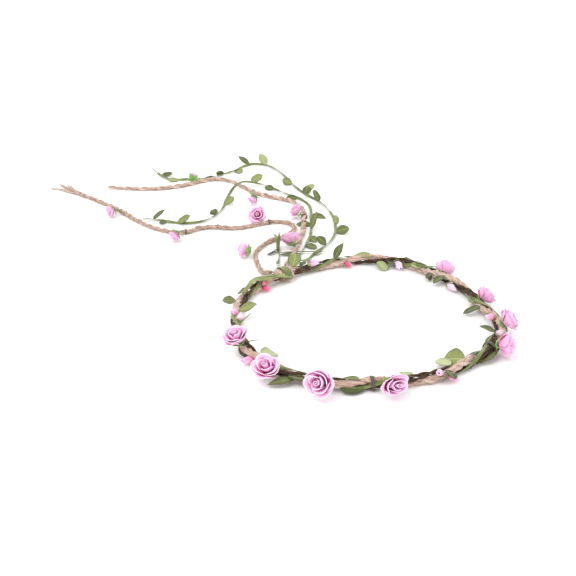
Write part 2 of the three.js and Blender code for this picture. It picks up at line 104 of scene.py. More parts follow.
def ring_radius(azimuth):
    place = np.mod(azimuth, 360) / RADII_STEP
    index = np.floor(place).astype(int)
    f = place - index
    radii = np.array(RING_RADII, float)
    a, b, c, d = (radii[(index + k) % len(radii)] for k in (-1, 0, 1, 2))
    cubic = 3 * (b - c) + d - a
    square = 2 * a - 5 * b + 4 * c - d
    return 0.5 * (2 * b + (c - a) * f + square * f**2 + cubic * f**3)


def ring_point(azimuth):
    """Points on the ring's centreline, in metres."""
    azimuth = np.asarray(azimuth, float)
    past = np.mod(azimuth - KNOT_AZIMUTH + 180, 360) - 180
    height = RING_HEIGHT + KNOT_LIFT * np.exp(-((past / KNOT_LIFT_SPREAD) ** 2))
    angle = np.radians(azimuth)
    radius = ring_radius(azimuth)
    flat = np.stack([radius * np.cos(angle), radius * np.sin(angle), height], -1)
    return flat * MM + CENTRING


def ring_frame(azimuth):
    """Centre, and unit vectors along the ring, outwards and up."""
    azimuth = np.asarray(azimuth, float)
    along = unit(ring_point(azimuth + 0.5) - ring_point(azimuth - 0.5))
    out = unit(np.cross(along, [0.0, 0.0, 1.0]))
    return ring_point(azimuth), along, out, np.cross(out, along)


def beside_ring(azimuth, distance, side):
    """Point beside the bundle, distance in millimetres; side 0 is outwards, 90 up, 180 inwards."""
    centre, _, out, up = ring_frame(azimuth)
    side = np.radians(np.asarray(side, float))[..., None]
    distance = np.asarray(distance, float)[..., None] * MM
    return centre + distance * (np.cos(side) * out + np.sin(side) * up)


def twist_at(azimuth):
    return TWIST_START + TWISTS * np.asarray(azimuth, float)


def smooth_line(points, spacing):
    """Centripetal Catmull-Rom line through points, as equally spaced points."""
    points = np.asarray(points, float)
    ends = [2 * points[0] - points[1], *points, 2 * points[-1] - points[-2]]
    fine = []
    for p0, p1, p2, p3 in zip(ends, ends[1:], ends[2:], ends[3:]):
        t1 = np.linalg.norm(p1 - p0) ** 0.5
        t2 = t1 + np.linalg.norm(p2 - p1) ** 0.5
        t3 = t2 + np.linalg.norm(p3 - p2) ** 0.5
        for t in np.linspace(t1, t2, 24, endpoint=False):
            a1 = (t1 - t) / t1 * p0 + t / t1 * p1
            a2 = (t2 - t) / (t2 - t1) * p1 + (t - t1) / (t2 - t1) * p2
            a3 = (t3 - t) / (t3 - t2) * p2 + (t - t2) / (t3 - t2) * p3
            b1 = (t2 - t) / t2 * a1 + t / t2 * a2
            b2 = (t3 - t) / (t3 - t1) * a2 + (t - t1) / (t3 - t1) * a3
            fine.append((t2 - t) / (t2 - t1) * b1 + (t - t1) / (t2 - t1) * b2)
    fine.append(points[-1])
    return resampled(np.array(fine), spacing)


def lengths_along(line):
    steps = np.linalg.norm(np.diff(line, axis=0), axis=1)
    return np.concatenate([[0.0], np.cumsum(steps)])


def resampled(line, spacing):
    reach = lengths_along(line)
    places = np.linspace(0, reach[-1], max(3, round(reach[-1] / spacing) + 1))
    return np.stack([np.interp(places, reach, line[:, k]) for k in range(3)], -1)


def moving_frames(line, start=(0.0, 0.0, 1.0)):
    """Tangents, and two side vectors carried along the line with no twist of their own."""
    tangents = unit(np.gradient(line, axis=0))
    side = np.cross(tangents[0], start)
    if np.linalg.norm(side) < 0.1:
        side = np.cross(tangents[0], (1.0, 0.0, 0.0))
    side = unit(side)
    sides = [side]
    for tangent in tangents[1:]:
        side = side - tangent * (side @ tangent)
        side = side / math.sqrt(side @ side)
        sides.append(side)
    sides = np.array(sides)
    return tangents, sides, np.cross(tangents, sides)


def wander(places, rng, size, wavelength):
    """Smooth random wobble along a line."""
    total = np.zeros_like(places)
    for octave in range(3):
        phase = rng.uniform(0, 2 * math.pi)
        total += np.sin(places * 2 * math.pi * 1.7**octave / wavelength + phase) / 1.6**octave
    return total * size / 2


# ---- mesh building -------------------------------------------------------------------------


class Pile:
    """Gathers grids of mesh into one object. grain carries a pattern's coordinates, tone a shade."""

    def __init__(self):
        self.points, self.faces, self.grain, self.tone = [], [], [], []
        self.count = 0

    def grid(self, points, grain, tone, wrap=False, caps=False):
        rows, columns = points.shape[:2]
        first = self.count
        self.points.append(points.reshape(-1, 3))
        self.grain.append(np.broadcast_to(grain, points.shape).reshape(-1, 3))
        self.tone.append(np.broadcast_to(tone, (rows, columns)).reshape(-1))
        self.count += rows * columns
        reach = columns if wrap else columns - 1
        for row in range(rows - 1):
            for column in range(reach):
                beside = (column + 1) % columns
                a = first + row * columns
                self.faces.append((a + column, a + beside, a + columns + beside, a + columns + column))
        if caps:
            last = first + (rows - 1) * columns
            self.faces.append(tuple(range(first + columns - 1, first - 1, -1)))
            self.faces.append(tuple(range(last, last + columns)))

    def build(self, name, material, smooth=True):
        mesh = bpy.data.meshes.new(name)
        mesh.from_pydata(np.concatenate(self.points).tolist(), [], self.faces)
        grain = mesh.attributes.new("grain", "FLOAT_VECTOR", "POINT")
        grain.data.foreach_set("vector", np.concatenate(self.grain).astype(np.float32).ravel())
        tone = mesh.attributes.new("tone", "FLOAT", "POINT")
        tone.data.foreach_set("value", np.concatenate(self.tone).astype(np.float32))
        mesh.polygons.foreach_set("use_smooth", [smooth] * len(mesh.polygons))
        mesh.materials.append(material)
        mesh.update()
        piece = bpy.data.objects.new(name, mesh)
        bpy.context.collection.objects.link(piece)
        return piece


def add_tube(pile, line, radius, sides=8, twist=0.0, tone=0.5, flatten=1.0):
    """Round tube along a line. Its grain turns with the twist, in turns per metre."""
    _, side, lift = moving_frames(line)
    reach = lengths_along(line)[:, None]
    angle = np.linspace(0, 2 * math.pi, sides, endpoint=False)[None, :]
    radius = np.broadcast_to(np.asarray(radius, float).reshape(-1, 1), (len(line), 1))
    across = np.cos(angle)[..., None] * side[:, None] + flatten * np.sin(angle)[..., None] * lift[:, None]
    points = line[:, None] + radius[..., None] * across
    turn = angle + 2 * math.pi * twist * reach
    around = radius / MM
    grain = np.stack([around * np.cos(turn), around * np.sin(turn), np.repeat(reach / MM, sides, 1)], -1)
    pile.grid(points, grain, tone, wrap=True, caps=True)


# Least height of a mesh point above the table, and how thick leaves and sepals are.
TABLE_CLEAR = 0.1 * MM
BLADE_THICKNESS = 0.3 * MM


def finish_piece(piece, slot, *nodes, thickness=None, smoothing=0):
    """Keeps a piece above the table, puts it on the one body, and hides the CAD nodes it stands for."""
    places = np.empty(3 * len(piece.data.vertices))
    piece.data.vertices.foreach_get("co", places)
    places[2::3] = np.maximum(places[2::3], TABLE_CLEAR)
    piece.data.vertices.foreach_set("co", places)
    if thickness:
        shell = piece.modifiers.new("thickness", "SOLIDIFY")
        shell.thickness = thickness
        shell.offset = 0
    if smoothing:
        smooth = piece.modifiers.new("smooth", "SUBSURF")
        smooth.levels = smoothing
        smooth.render_levels = smoothing
    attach(piece, "root")
    if nodes:
        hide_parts(*nodes)
    return piece


# ---- materials -----------------------------------------------------------------------------


def srgb(red, green, blue):
    def linear(value):
        value /= 255
        return value / 12.92 if value <= 0.04045 else ((value + 0.055) / 1.055) ** 2.4

    return (linear(red), linear(green), linear(blue), 1.0)


class Finish:
    """A node material, built up with short calls."""

    def __init__(self, name, roughness, **sockets):
        self.material = bpy.data.materials.new(name)
        self.material.use_nodes = True
        self.nodes = self.material.node_tree.nodes
        self.links = self.material.node_tree.links
        self.shader = self.nodes["Principled BSDF"]
        self.shader.inputs["Roughness"].default_value = roughness
        for socket, value in sockets.items():
            self.shader.inputs[socket.replace("_", " ")].default_value = value

    def link(self, output, target):
        if isinstance(output, (int, float)):
            target.default_value = output
        elif isinstance(output, tuple):
            target.default_value = output
        else:
            self.links.new(output, target)

    def attribute(self, name, output="Vector"):
        node = self.nodes.new("ShaderNodeAttribute")
        node.attribute_name = name
        return node.outputs[output]

    def stretched(self, vector, scale):
        node = self.nodes.new("ShaderNodeMapping")
        node.inputs["Scale"].default_value = scale
        self.link(vector, node.inputs["Vector"])
        return node.outputs["Vector"]

    def noise(self, vector, scale, detail=4.0, roughness=0.55):
        node = self.nodes.new("ShaderNodeTexNoise")
        self.link(vector, node.inputs["Vector"])
        node.inputs["Scale"].default_value = scale
        node.inputs["Detail"].default_value = detail
        node.inputs["Roughness"].default_value = roughness
        return node.outputs["Fac"]

    def math(self, operation, a, b=0.0, c=0.0):
        node = self.nodes.new("ShaderNodeMath")
        node.operation = operation
        for value, target in zip((a, b, c), node.inputs):
            self.link(value, target)
        return node.outputs[0]

    def ramp(self, factor, *stops):
        node = self.nodes.new("ShaderNodeValToRGB")
        elements = node.color_ramp.elements
        while len(elements) < len(stops):
            elements.new(0.5)
        for element, (place, colour) in zip(elements, stops):
            element.position = place
            element.color = colour
        self.link(factor, node.inputs["Fac"])
        return node.outputs["Color"]

    def mix(self, factor, a, b, blend="MIX"):
        node = self.nodes.new("ShaderNodeMix")
        node.data_type = "RGBA"
        node.blend_type = blend
        self.link(factor, node.inputs["Factor"])
        self.link(a, node.inputs[6])
        self.link(b, node.inputs[7])
        return node.outputs[2]

    def parts(self, vector):
        node = self.nodes.new("ShaderNodeSeparateXYZ")
        self.link(vector, node.inputs[0])
        return node.outputs

    def colour(self, output):
        self.link(output, self.shader.inputs["Base Color"])

    def bump(self, height, strength, distance):
        node = self.nodes.new("ShaderNodeBump")
        node.inputs["Strength"].default_value = strength
        node.inputs["Distance"].default_value = distance
        self.link(height, node.inputs["Height"])
        self.link(node.outputs["Normal"], self.shader.inputs["Normal"])


def jute_finish():
    """Jute: grain turns with the yarns, and tone makes some yarns lighter than others."""
    f = Finish("jute", 0.92, Sheen_Weight=0.2, Sheen_Roughness=0.6, Specular_IOR_Level=0.2)
    grain = f.attribute("grain")
    tone = f.attribute("tone", "Fac")
    fibres = f.noise(f.stretched(grain, (3.2, 3.2, 0.2)), 1.0, 5.0, 0.65)
    patches = f.noise(f.stretched(grain, (0.3, 0.3, 0.05)), 1.0, 2.0)
    shade = f.math("ADD", f.math("MULTIPLY", fibres, 0.8), f.math("MULTIPLY", tone, 0.32))
    colour = f.ramp(
        shade,
        (0.34, srgb(92, 68, 50)),
        (0.46, srgb(172, 142, 123)),
        (0.58, srgb(222, 198, 184)),
        (0.80, srgb(244, 228, 216)),
    )
    warm = f.ramp(patches, (0.35, srgb(232, 212, 202)), (0.65, srgb(255, 253, 251)))
    f.colour(f.mix(0.6, colour, warm, "MULTIPLY"))
    f.bump(fibres, 1.0, 0.4 * MM)
    return f.material


def vine_finish():
    f = Finish("brown_vine", 0.62, Specular_IOR_Level=0.35)
    grain = f.attribute("grain")
    bark = f.noise(f.stretched(grain, (2.4, 2.4, 0.25)), 1.0, 6.0, 0.7)
    patches = f.noise(f.stretched(grain, (0.5, 0.5, 0.12)), 1.0, 2.0)
    colour = f.ramp(
        bark,
        (0.3, srgb(36, 24, 14)),
        (0.5, srgb(76, 54, 34)),
        (0.66, srgb(122, 96, 64)),
        (0.8, srgb(166, 136, 100)),
    )
    aged = f.ramp(patches, (0.4, srgb(120, 84, 62)), (0.6, srgb(250, 244, 224)))
    f.colour(f.mix(0.5, colour, aged, "MULTIPLY"))
    f.bump(bark, 1.0, 0.4 * MM)
    return f.material


def leaf_finish():
    """Fabric leaf: grain is (across -1..1, along 0..1, seed); tone goes from dark to light."""
    f = Finish("leaf_green", 0.55, Sheen_Weight=0.2, Specular_IOR_Level=0.35)
    grain = f.attribute("grain")
    tone = f.attribute("tone", "Fac")
    across, along, _ = f.parts(grain)
    outwards = f.math("ABSOLUTE", across)
    sweep = f.math("SUBTRACT", f.math("MULTIPLY", along, 8.0), f.math("MULTIPLY", outwards, 2.6))
    vein = f.math("PINGPONG", sweep, 0.5)
    side_vein = f.math("LESS_THAN", vein, 0.06)
    midrib = f.math("LESS_THAN", outwards, 0.055)
    veins = f.math("MAXIMUM", f.math("MULTIPLY", side_vein, 0.6), midrib)
    mottle = f.noise(f.stretched(grain, (3.0, 5.0, 40.0)), 1.0, 4.0, 0.6)
    body = f.ramp(
        tone,
        (0.0, srgb(50, 58, 26)),
        (0.35, srgb(98, 110, 52)),
        (0.65, srgb(156, 164, 98)),
        (1.0, srgb(206, 212, 160)),
    )
    mottled = f.mix(f.math("MULTIPLY", mottle, 0.5), body, srgb(60, 78, 34), "MULTIPLY")
    edge_dark = f.math("MULTIPLY", f.math("POWER", outwards, 5.0), 0.62)
    shaded = f.mix(edge_dark, mottled, srgb(58, 66, 26), "MULTIPLY")
    f.colour(f.mix(f.math("MULTIPLY", veins, 0.5), shaded, srgb(196, 208, 140)))
    weave = f.noise(f.stretched(grain, (60.0, 90.0, 1.0)), 1.0, 2.0)
    relief = f.math("ADD", f.math("MULTIPLY", veins, -0.8), f.math("MULTIPLY", weave, 0.35))
    f.bump(relief, 0.5, 0.25 * MM)
    return f.material


def ribbon_finish():
    f = Finish("ribbon_green", 0.6, Sheen_Weight=0.3, Specular_IOR_Level=0.35)
    grain = f.attribute("grain")
    tone = f.attribute("tone", "Fac")
    patches = f.noise(f.stretched(grain, (0.6, 0.6, 0.09)), 1.0, 4.0)
    shade = f.math("ADD", f.math("MULTIPLY", patches, 0.9), f.math("MULTIPLY", tone, 0.35))
    f.colour(f.ramp(
        shade,
        (0.3, srgb(50, 58, 26)),
        (0.6, srgb(106, 118, 60)),
        (0.95, srgb(176, 184, 118)),
    ))
    weave = f.noise(f.stretched(grain, (6.0, 6.0, 5.0)), 1.0, 2.0)
    f.bump(weave, 0.5, 0.2 * MM)
    return f.material


def calyx_finish():
    f = Finish("calyx_green", 0.6, Sheen_Weight=0.2)
    grain = f.attribute("grain")
    tone = f.attribute("tone", "Fac")
    mottle = f.noise(f.stretched(grain, (4.0, 6.0, 30.0)), 1.0, 4.0, 0.6)
    shade = f.math("ADD", tone, f.math("MULTIPLY", mottle, 0.3))
    f.colour(f.ramp(
        shade,
        (0.15, srgb(48, 72, 36)),
        (0.5, srgb(104, 152, 72)),
        (0.9, srgb(164, 206, 118)),
    ))
    f.bump(f.noise(f.stretched(grain, (50.0, 60.0, 1.0)), 1.0, 2.0), 0.4, 0.2 * MM)
    return f.material


def petal_finish(name, rim, body, recess_shade):
    """Foam petal: tone is 0 deep inside the flower, about half on the outer faces and 1 at the cut rim. The
    recess colour at tone 0 is painted shade deep inside the flower.
    """
    f = Finish(
        name, 0.75, Subsurface_Weight=0.2, Subsurface_Radius=(0.9, 0.35, 0.6), Subsurface_Scale=1.0 * MM,
        Sheen_Weight=0.1, Specular_IOR_Level=0.25,
    )
    grain = f.attribute("grain")
    tone = f.attribute("tone", "Fac")
    mottle = f.noise(f.stretched(grain, (2.2, 3.0, 20.0)), 1.0, 3.0, 0.5)
    shade = f.math("ADD", tone, f.math("MULTIPLY", f.math("SUBTRACT", mottle, 0.5), 0.25))
    # The low end of the ramp is painted shade deep inside the flower.
    f.colour(f.ramp(shade, (0.08, recess_shade), (0.5, body), (0.8, rim), (0.98, PALE_RIM)))
    pores = f.noise(f.stretched(grain, (26.0, 26.0, 1.0)), 1.0, 3.0)
    f.bump(pores, 0.25, 0.15 * MM)
    return f.material


def tie_finish():
    f = Finish("tie_thread", 0.8, Sheen_Weight=0.3)
    strands = f.noise(f.stretched(f.attribute("grain"), (3.0, 3.0, 1.2)), 1.0, 4.0)
    dark, middle, light = srgb(58, 50, 38), srgb(100, 90, 70), srgb(148, 138, 112)
    f.colour(f.ramp(strands, (0.35, dark), (0.55, middle), (0.7, light)))
    f.bump(strands, 0.6, 0.2 * MM)
    return f.material


def wire_finish():
    f = Finish("core_wire", 0.35, Metallic=1.0)
    grey = f.noise(f.attribute("grain"), 3.0)
    f.colour(f.ramp(grey, (0.4, srgb(110, 108, 106)), (0.6, srgb(168, 166, 162))))
    return f.material


PALE_RIM = srgb(253, 234, 247)
JUTE = jute_finish()
VINE = vine_finish()
LEAF = leaf_finish()
RIBBON = ribbon_finish()
CALYX = calyx_finish()
# The third colour of each is painted shade for the flower's recesses.
PINK = petal_finish("foam_pink", srgb(247, 206, 234), srgb(241, 176, 219), srgb(216, 78, 146))
BUD_PINK = petal_finish("bud_pink", srgb(248, 200, 228), srgb(236, 134, 188), srgb(206, 52, 114))
BUD_HOT = petal_finish("bud_hot", srgb(238, 112, 154), srgb(210, 40, 90), srgb(150, 14, 50))
BUD_PALE = petal_finish("bud_pale", srgb(250, 220, 240), srgb(242, 190, 224), srgb(222, 110, 166))
TIE = tie_finish()
WIRE = wire_finish()

# ---- strands -------------------------------------------------------------------------------


def add_rope(pile, line, radius, plies, pitch, rng, ply_share=0.56, sides=8, yarns=5):
    """Plied rope: each ply is a tube that winds round the line, with its own slow swelling."""
    _, side, lift = moving_frames(line)
    reach = lengths_along(line)
    offset = radius * (1 - ply_share)
    for ply in range(plies):
        angle = 2 * math.pi * (reach / pitch + ply / plies) + wander(reach, rng, 0.35, 0.04)
        wobble = offset * (1 + wander(reach, rng, 0.18, 0.023))
        ply_line = line + (wobble * np.cos(angle))[:, None] * side
        ply_line = ply_line + (wobble * np.sin(angle))[:, None] * lift
        swell = radius * ply_share * (1 + wander(reach, rng, 0.16, 0.017))
        tone = 0.42 + 0.16 * rng.uniform(-1, 1)
        add_tube(pile, ply_line, swell * 0.94, sides, twist=-1.3 / pitch, tone=tone)
        add_yarns(pile, ply_line, swell, pitch, rng, yarns)


def add_yarns(pile, line, radius, pitch, rng, count):
    """Fine fibre bundles laid on a ply, so that its surface is stranded and not a smooth tube."""
    _, side, lift = moving_frames(line)
    reach = lengths_along(line)
    for yarn in range(count):
        angle = 2 * math.pi * (-0.55 * reach / pitch + yarn / count) + wander(reach, rng, 0.8, 0.03)
        out = radius * (0.9 + wander(reach, rng, 0.14, 0.011))
        yarn_line = line + (out * np.cos(angle))[:, None] * side + (out * np.sin(angle))[:, None] * lift
        thick = rng.uniform(0.13, 0.3) * MM * (1 + wander(reach, rng, 0.4, 0.02))
        add_tube(pile, yarn_line, thick, 5, twist=2 / pitch, tone=rng.choice([0.1, 0.4, 0.75, 0.95]))


def add_fuzz(pile, line, radius, count, rng, reach_out=2.2 * MM):
    """Loose fibres that leave a rope's surface at a shallow angle."""
    tangents, side, lift = moving_frames(line)
    for _ in range(count):
        index = int(rng.integers(2, len(line) - 2))
        angle = rng.uniform(0, 2 * math.pi)
        out = math.cos(angle) * side[index] + math.sin(angle) * lift[index]
        forward = tangents[index] * rng.choice([-1, 1])
        length = rng.uniform(2.5, 7) * MM
        places = np.linspace(0, 1, 6)[:, None]
        bend = np.cross(forward, out) * rng.uniform(-1.5, 1.5) * MM
        start = line[index] + out * radius * 0.8
        rise = rng.uniform(0.3, 1.0) * reach_out
        hair = start + forward * length * places + out * rise * places**1.5 + bend * places**2
        hair[:, 2] = np.maximum(hair[:, 2], 0.15 * MM)
        add_tube(pile, hair, 0.07 * MM, 3, tone=0.8)


SEAM_HALF_ANGLE = 0.4


def ring_line(offset, phase, spacing):
    """One strand's line round the ring; the knot squeezes the bundle a little."""
    azimuth = KNOT_AZIMUTH + np.linspace(SEAM_HALF_ANGLE, 360 - SEAM_HALF_ANGLE, 721)
    past = np.mod(azimuth - KNOT_AZIMUTH + 180, 360) - 180
    squeeze = 1 - KNOT_SQUEEZE * np.exp(-((past / 9) ** 2))
    line = beside_ring(azimuth, offset * squeeze, twist_at(azimuth) + phase)
    return resampled(line, spacing)


def lay_on_table(line, radius):
    line = line.copy()
    line[:, 2] = np.maximum(line[:, 2], radius)
    return line


def make_ring_jute():
    rng = np.random.default_rng(11)
    pile = Pile()
    line = lay_on_table(ring_line(JUTE_OFFSET, JUTE_PHASE, 1.2 * MM), 2.4 * MM)
    add_rope(pile, line, 2.65 * MM, 3, 23 * MM, rng, yarns=6)
    add_fuzz(pile, line, 2.6 * MM, 260, rng)
    return finish_piece(pile.build("ring_jute", JUTE), "jute", "jute_ring_strand")


def make_ring_vine(name, phase, seed):
    rng = np.random.default_rng(seed)
    pile = Pile()
    line = lay_on_table(ring_line(VINE_OFFSET, phase, 1.5 * MM), 1.1 * MM)
    add_rope(pile, line, 1.25 * MM, 2, 19 * MM, rng, ply_share=0.55, sides=7, yarns=0)
    return finish_piece(pile.build(f"ring_{name}", VINE), "brown_vine", name)


def add_ribbon(pile, line, normals, width, rng, thickness=0.4 * MM, tone=0.5):
    """Flat ribbon with a slight hollow, its flat side facing along the normals."""
    tangents = unit(np.gradient(line, axis=0))
    across = unit(np.cross(tangents, normals))
    normals = np.cross(across, tangents)
    half = width / 2 * (1 + wander(lengths_along(line), rng, 0.2, 0.03))
    section = [(-1, 0.5), (-0.5, 0.15), (0, 0), (0.5, 0.15), (1, 0.5), (1, 1.2), (0.5, 0.9), (0, 0.8),
               (-0.5, 0.9), (-1, 1.2)]
    columns = [line + (x * half)[:, None] * across + y * thickness * normals for x, y in section]
    points = np.stack(columns, 1)
    reach = lengths_along(line) / MM
    edges = [np.stack([np.full_like(reach, x), np.full_like(reach, y), reach], -1) for x, y in section]
    grain = np.stack(edges, 1)
    pile.grid(points, grain, tone, wrap=True, caps=True)


def make_ring_ribbon():
    rng = np.random.default_rng(23)
    pile = Pile()
    line = ring_line(RIBBON_OFFSET, RIBBON_PHASE, 1.6 * MM)
    line = lay_on_table(line, 0.8 * MM)
    azimuth = np.degrees(np.arctan2(line[:, 1] - CENTRING[1], line[:, 0] - CENTRING[0]))
    centre = ring_point(azimuth)
    add_ribbon(pile, line, unit(line - centre), 2.6 * MM, rng, 0.5 * MM)
    return finish_piece(pile.build("ring_leaf_ribbon", RIBBON), "leaf_green", "leaf_ribbon")


# ---- leaves --------------------------------------------------------------------------------


def add_leaf(pile, base, tip, across, length, width, tone, rng, cup=0.16, droop=0.12):
    """Veined leaf blade: folded a little along its midrib, bent along its length, wavy at its edge."""
    rows, columns = 15, 9
    along = np.linspace(0, 1, rows)[:, None]
    beside = np.linspace(-1, 1, columns)[None, :]
    blunt = 0.74 - 0.3 * min(max((width / length - 0.5) / 0.4, 0), 1)
    outline = along**0.6 * (1 - along) ** blunt
    outline = outline / outline.max()
    outline = np.maximum(outline, 0.05 * (1 - along))
    half = width / 2 * outline
    tip, across = unit(tip), unit(across)
    normal = np.cross(across, tip)
    sway = rng.uniform(-0.1, 0.1)
    rise = cup * np.abs(beside) ** 1.3 * half - droop * length * along**2
    rise = rise + 0.035 * width * np.sin(along * 9 + rng.uniform(0, 6)) * beside**2 * np.sign(beside)
    forward = length * along * (1 - 0.04 * beside**2) + 0 * beside
    sideways = half * beside + sway * length * along**2
    points = base + forward[..., None] * tip + sideways[..., None] * across + rise[..., None] * normal
    grain = np.stack([
        np.broadcast_to(beside, (rows, columns)),
        np.broadcast_to(along, (rows, columns)),
        np.full((rows, columns), rng.uniform(0, 9)),
    ], -1)
    pile.grid(points, grain, tone)


RING_LEAVES = [
    # azimuth, side round the bundle, heading and lift of the tip, roll, length, width, tone
    (-23, 150, 175, -8, 0, 15, 7, 0.2),
    (-19, 175, 85, 2, 0, 9, 5, 0.6),
    (-49, 125, 99, -5, -65, 13, 6, 0.4),
    (-50, 160, -163, -14, -30, 13, 6, 0.45),
    (-57, 40, -140, -8, -45, 13, 8, 0.15),
    (-61, -20, -167, 2, -15, 19, 13, 0.42),
    (-78, 150, 3, 12, 20, 15, 5, 0.15),
    (-79, 105, 122, -12, 22, 16, 17, 0.62),
    (-86, 150, 100, -6, 10, 14, 9, 1.0),
    (-91, 65, -103, -2, 20, 10, 8, 0.1),
    (-106, 60, 96, -6, -5, 15, 7, 0.9),
    (-38, 65, -110, -14, 30, 12, 5, 0.25),
    (11, 125, -176, -13, 0, 12, 7, 0.3),
    (18, 165, -166, -8, -10, 8, 5, 0.15),
    (137, 60, 140, 5, -65, 10.5, 10, 0.55),
    (146, 120, -45, 28, -25, 15, 9, 0.6),
    (126, 85, 100, -20, 30, 11, 7, 0.35),
    (69, 120, -10, 66, -10, 16, 9, 0.3),
    (49, 100, 144, 4, 10, 17, 8, 0.7),
    (47, 180, -100, -8, 5, 13, 10, 0.8),
    (43, 175, -76, 2, 0, 13, 5, 0.1),
    (36, 60, -16, -20, -15, 13, 5, 0.3),
    (31, 145, -62, 2, -20, 14, 8, 0.85),
    (20, 180, -124, -12, 25, 9, 5, 0.25),
    (92, 70, 40, 40, -10, 13, 11, 0.6),
    (88, 100, 31, 8, 5, 10, 5, 0.1),
    (174, 10, -93, -2, -40, 16, 8, 0.05),
    (-173, 125, 12, -12, -10, 14, 12, 0.9),
    (-153, -15, 160, 5, 10, 18, 7, 0.4),
    (-156, 5, -66, 12, -10, 15, 6, 0.2),
    (-136, -12, -38, 0, -28, 17, 10, 0.2),
    (-127, 80, 150, 12, 0, 13, 5, 0.4),
]


def pointing(azimuth, elevation):
    azimuth, elevation = math.radians(azimuth), math.radians(elevation)
    level = math.cos(elevation)
    return np.array([level * math.cos(azimuth), level * math.sin(azimuth), math.sin(elevation)])


def leaf_across(tip, roll):
    """Across a leaf: level when it has no roll."""
    level = unit(np.cross(tip, [0.0, 0.0, 1.0]))
    roll = math.radians(roll)
    return math.cos(roll) * level + math.sin(roll) * np.cross(level, tip)


def make_ring_leaves():
    rng = np.random.default_rng(31)
    pile = Pile()
    for azimuth, side, heading, lift, roll, length, width, tone in RING_LEAVES:
        tip = pointing(heading, lift)
        base = beside_ring(azimuth, BUNDLE_REACH - 1.0, side) + tip * 0.4 * MM
        add_leaf(pile, base, tip, leaf_across(tip, roll), length * MM, width * MM, tone, rng)
    leaves = pile.build("ring_leaves", LEAF)
    finish_piece(leaves, "leaf_green", "leaf_ribbon", thickness=BLADE_THICKNESS, smoothing=1)


# ---- roses ---------------------------------------------------------------------------------

ROSE_RADIUS = 10.3
GAP = 0.35


def facing_axes(face, spin):
    """Two vectors across a flower that faces one way, turned by a spin."""
    side = unit(np.cross([0.0, 0.0, 1.0], face)) if abs(face[2]) < 0.98 else np.array([1.0, 0.0, 0.0])
    up = np.cross(face, side)
    return side * math.cos(spin) + up * math.sin(spin), up * math.cos(spin) - side * math.sin(spin)


def add_shell(pile, place, radius, angle, z, thick, seed, inner, outer):
    """Closed foam sheet from cylindrical grids: out along its outer face, over the rim, back inside."""
    inside = (radius - thick, angle, z - 0.12 * thick)
    rim = tuple(0.5 * (a[-1:] + b[-1:]) for a, b in zip((radius, angle, z), inside))
    rim = (rim[0], rim[1], rim[2] + 0.32 * thick[-1:])
    r, a, h = (
        np.concatenate([face, middle, back[::-1]])
        for face, middle, back in zip((radius, angle, z), rim, inside)
    )
    rows, columns = radius.shape
    v = np.linspace(0, 1, rows)[:, None] + np.zeros((rows, columns))
    along = np.concatenate([v, v[-1:], v[::-1]])
    across = np.linspace(-1, 1, columns)[None, :] + 0 * along
    tone = np.concatenate([outer + 0 * v, np.ones((1, columns)), (inner + 0 * v)[::-1]])
    grain = np.stack([across, along, np.full_like(along, seed)], -1)
    pile.grid(place(r * np.cos(a), r * np.sin(a), h), grain, np.clip(tone, 0, 1))


def add_petal(pile, place, start, span, radii, height, point, roll, tuck, rng, thick=0.9 * MM, low=0.0):
    """One petal round the flower's axis. radii are at its base, belly and rim."""
    rows, columns = 11, 13
    v = np.linspace(0, 1, rows)[:, None]
    u = np.linspace(-1, 1, columns)[None, :]
    angle = start + span / 2 * u + 0 * v
    base, belly, rim = radii
    radius = (1 - v) ** 2 * base + 2 * (1 - v) * v * belly + v**2 * rim
    radius = radius * (1 + tuck * u)
    corner = np.exp(-((u / 0.5) ** 2))
    radius = radius + v**2.5 * point * corner
    curl = np.clip((v - 0.66) / 0.34, 0, 1)
    radius = radius + roll * curl**1.6 * (0.6 + 0.7 * corner) * (1 - 0.8 * u**2)
    edge = 1 - 0.42 * np.abs(u) ** 4 + 0.03 * corner + 0.015 * np.sin(4 * u + rng.uniform(0, 6))
    z = low + (height - low) * v**0.85 * edge - roll * 0.8 * curl**2.4
    radius = radius * (1 + 0.03 * np.sin(3 * u + rng.uniform(0, 6)) * v)
    taper = thick * (1 - 0.85 * np.abs(u) ** 5) * (0.7 + 0.3 * v)
    # Inner face tone: painted shade, darkest at the petal's base deep in the flower.
    inner = 0.05 + 0.8 * v**1.7
    outer = 0.5 + 0.3 * v + 0.12 * rng.uniform(-1, 1) - 0.12 * np.abs(u)
    add_shell(pile, place, radius, angle, z, taper, rng.uniform(0, 9), inner, outer)


def add_spiral(pile, place, radius, height, turns, rng):
    """Rolled strip at the heart of a foam rose."""
    rows, columns = 7, round(22 * turns)
    v = np.linspace(0, 1, rows)[:, None]
    f = np.linspace(0, 1, columns)[None, :]
    angle = 2 * math.pi * turns * f + rng.uniform(0, 6) + 0 * v
    distance = radius * (0.16 + 0.84 * f**0.9) * (0.82 + 0.18 * v**2)
    distance = distance * (1 + 0.06 * np.sin(2.5 * angle))
    z = height * (0.3 + 0.7 * v) * (1 - 0.06 * (1 - f))
    thick = 0.2 * radius * np.minimum(1, 12 * np.minimum(f, 1 - f) + 0.15) + 0 * v
    # Both faces of the heart are painted darker towards its bottom: painted shade.
    add_shell(pile, place, distance, angle, z, thick, 3.0, 0.05 + 0.6 * v**2, 0.35 + 0.5 * v)


PETAL_LAYERS = [
    # petals, span, base, belly, rim, height, point, roll, tuck
    (3, 152, 0.16, 0.52, 0.47, 0.97, 0.04, 0.05, 0.15),
    (3, 148, 0.24, 0.78, 0.75, 0.88, 0.07, 0.10, 0.12),
    (5, 108, 0.30, 0.98, 0.93, 0.70, 0.06, 0.13, 0.09),
]


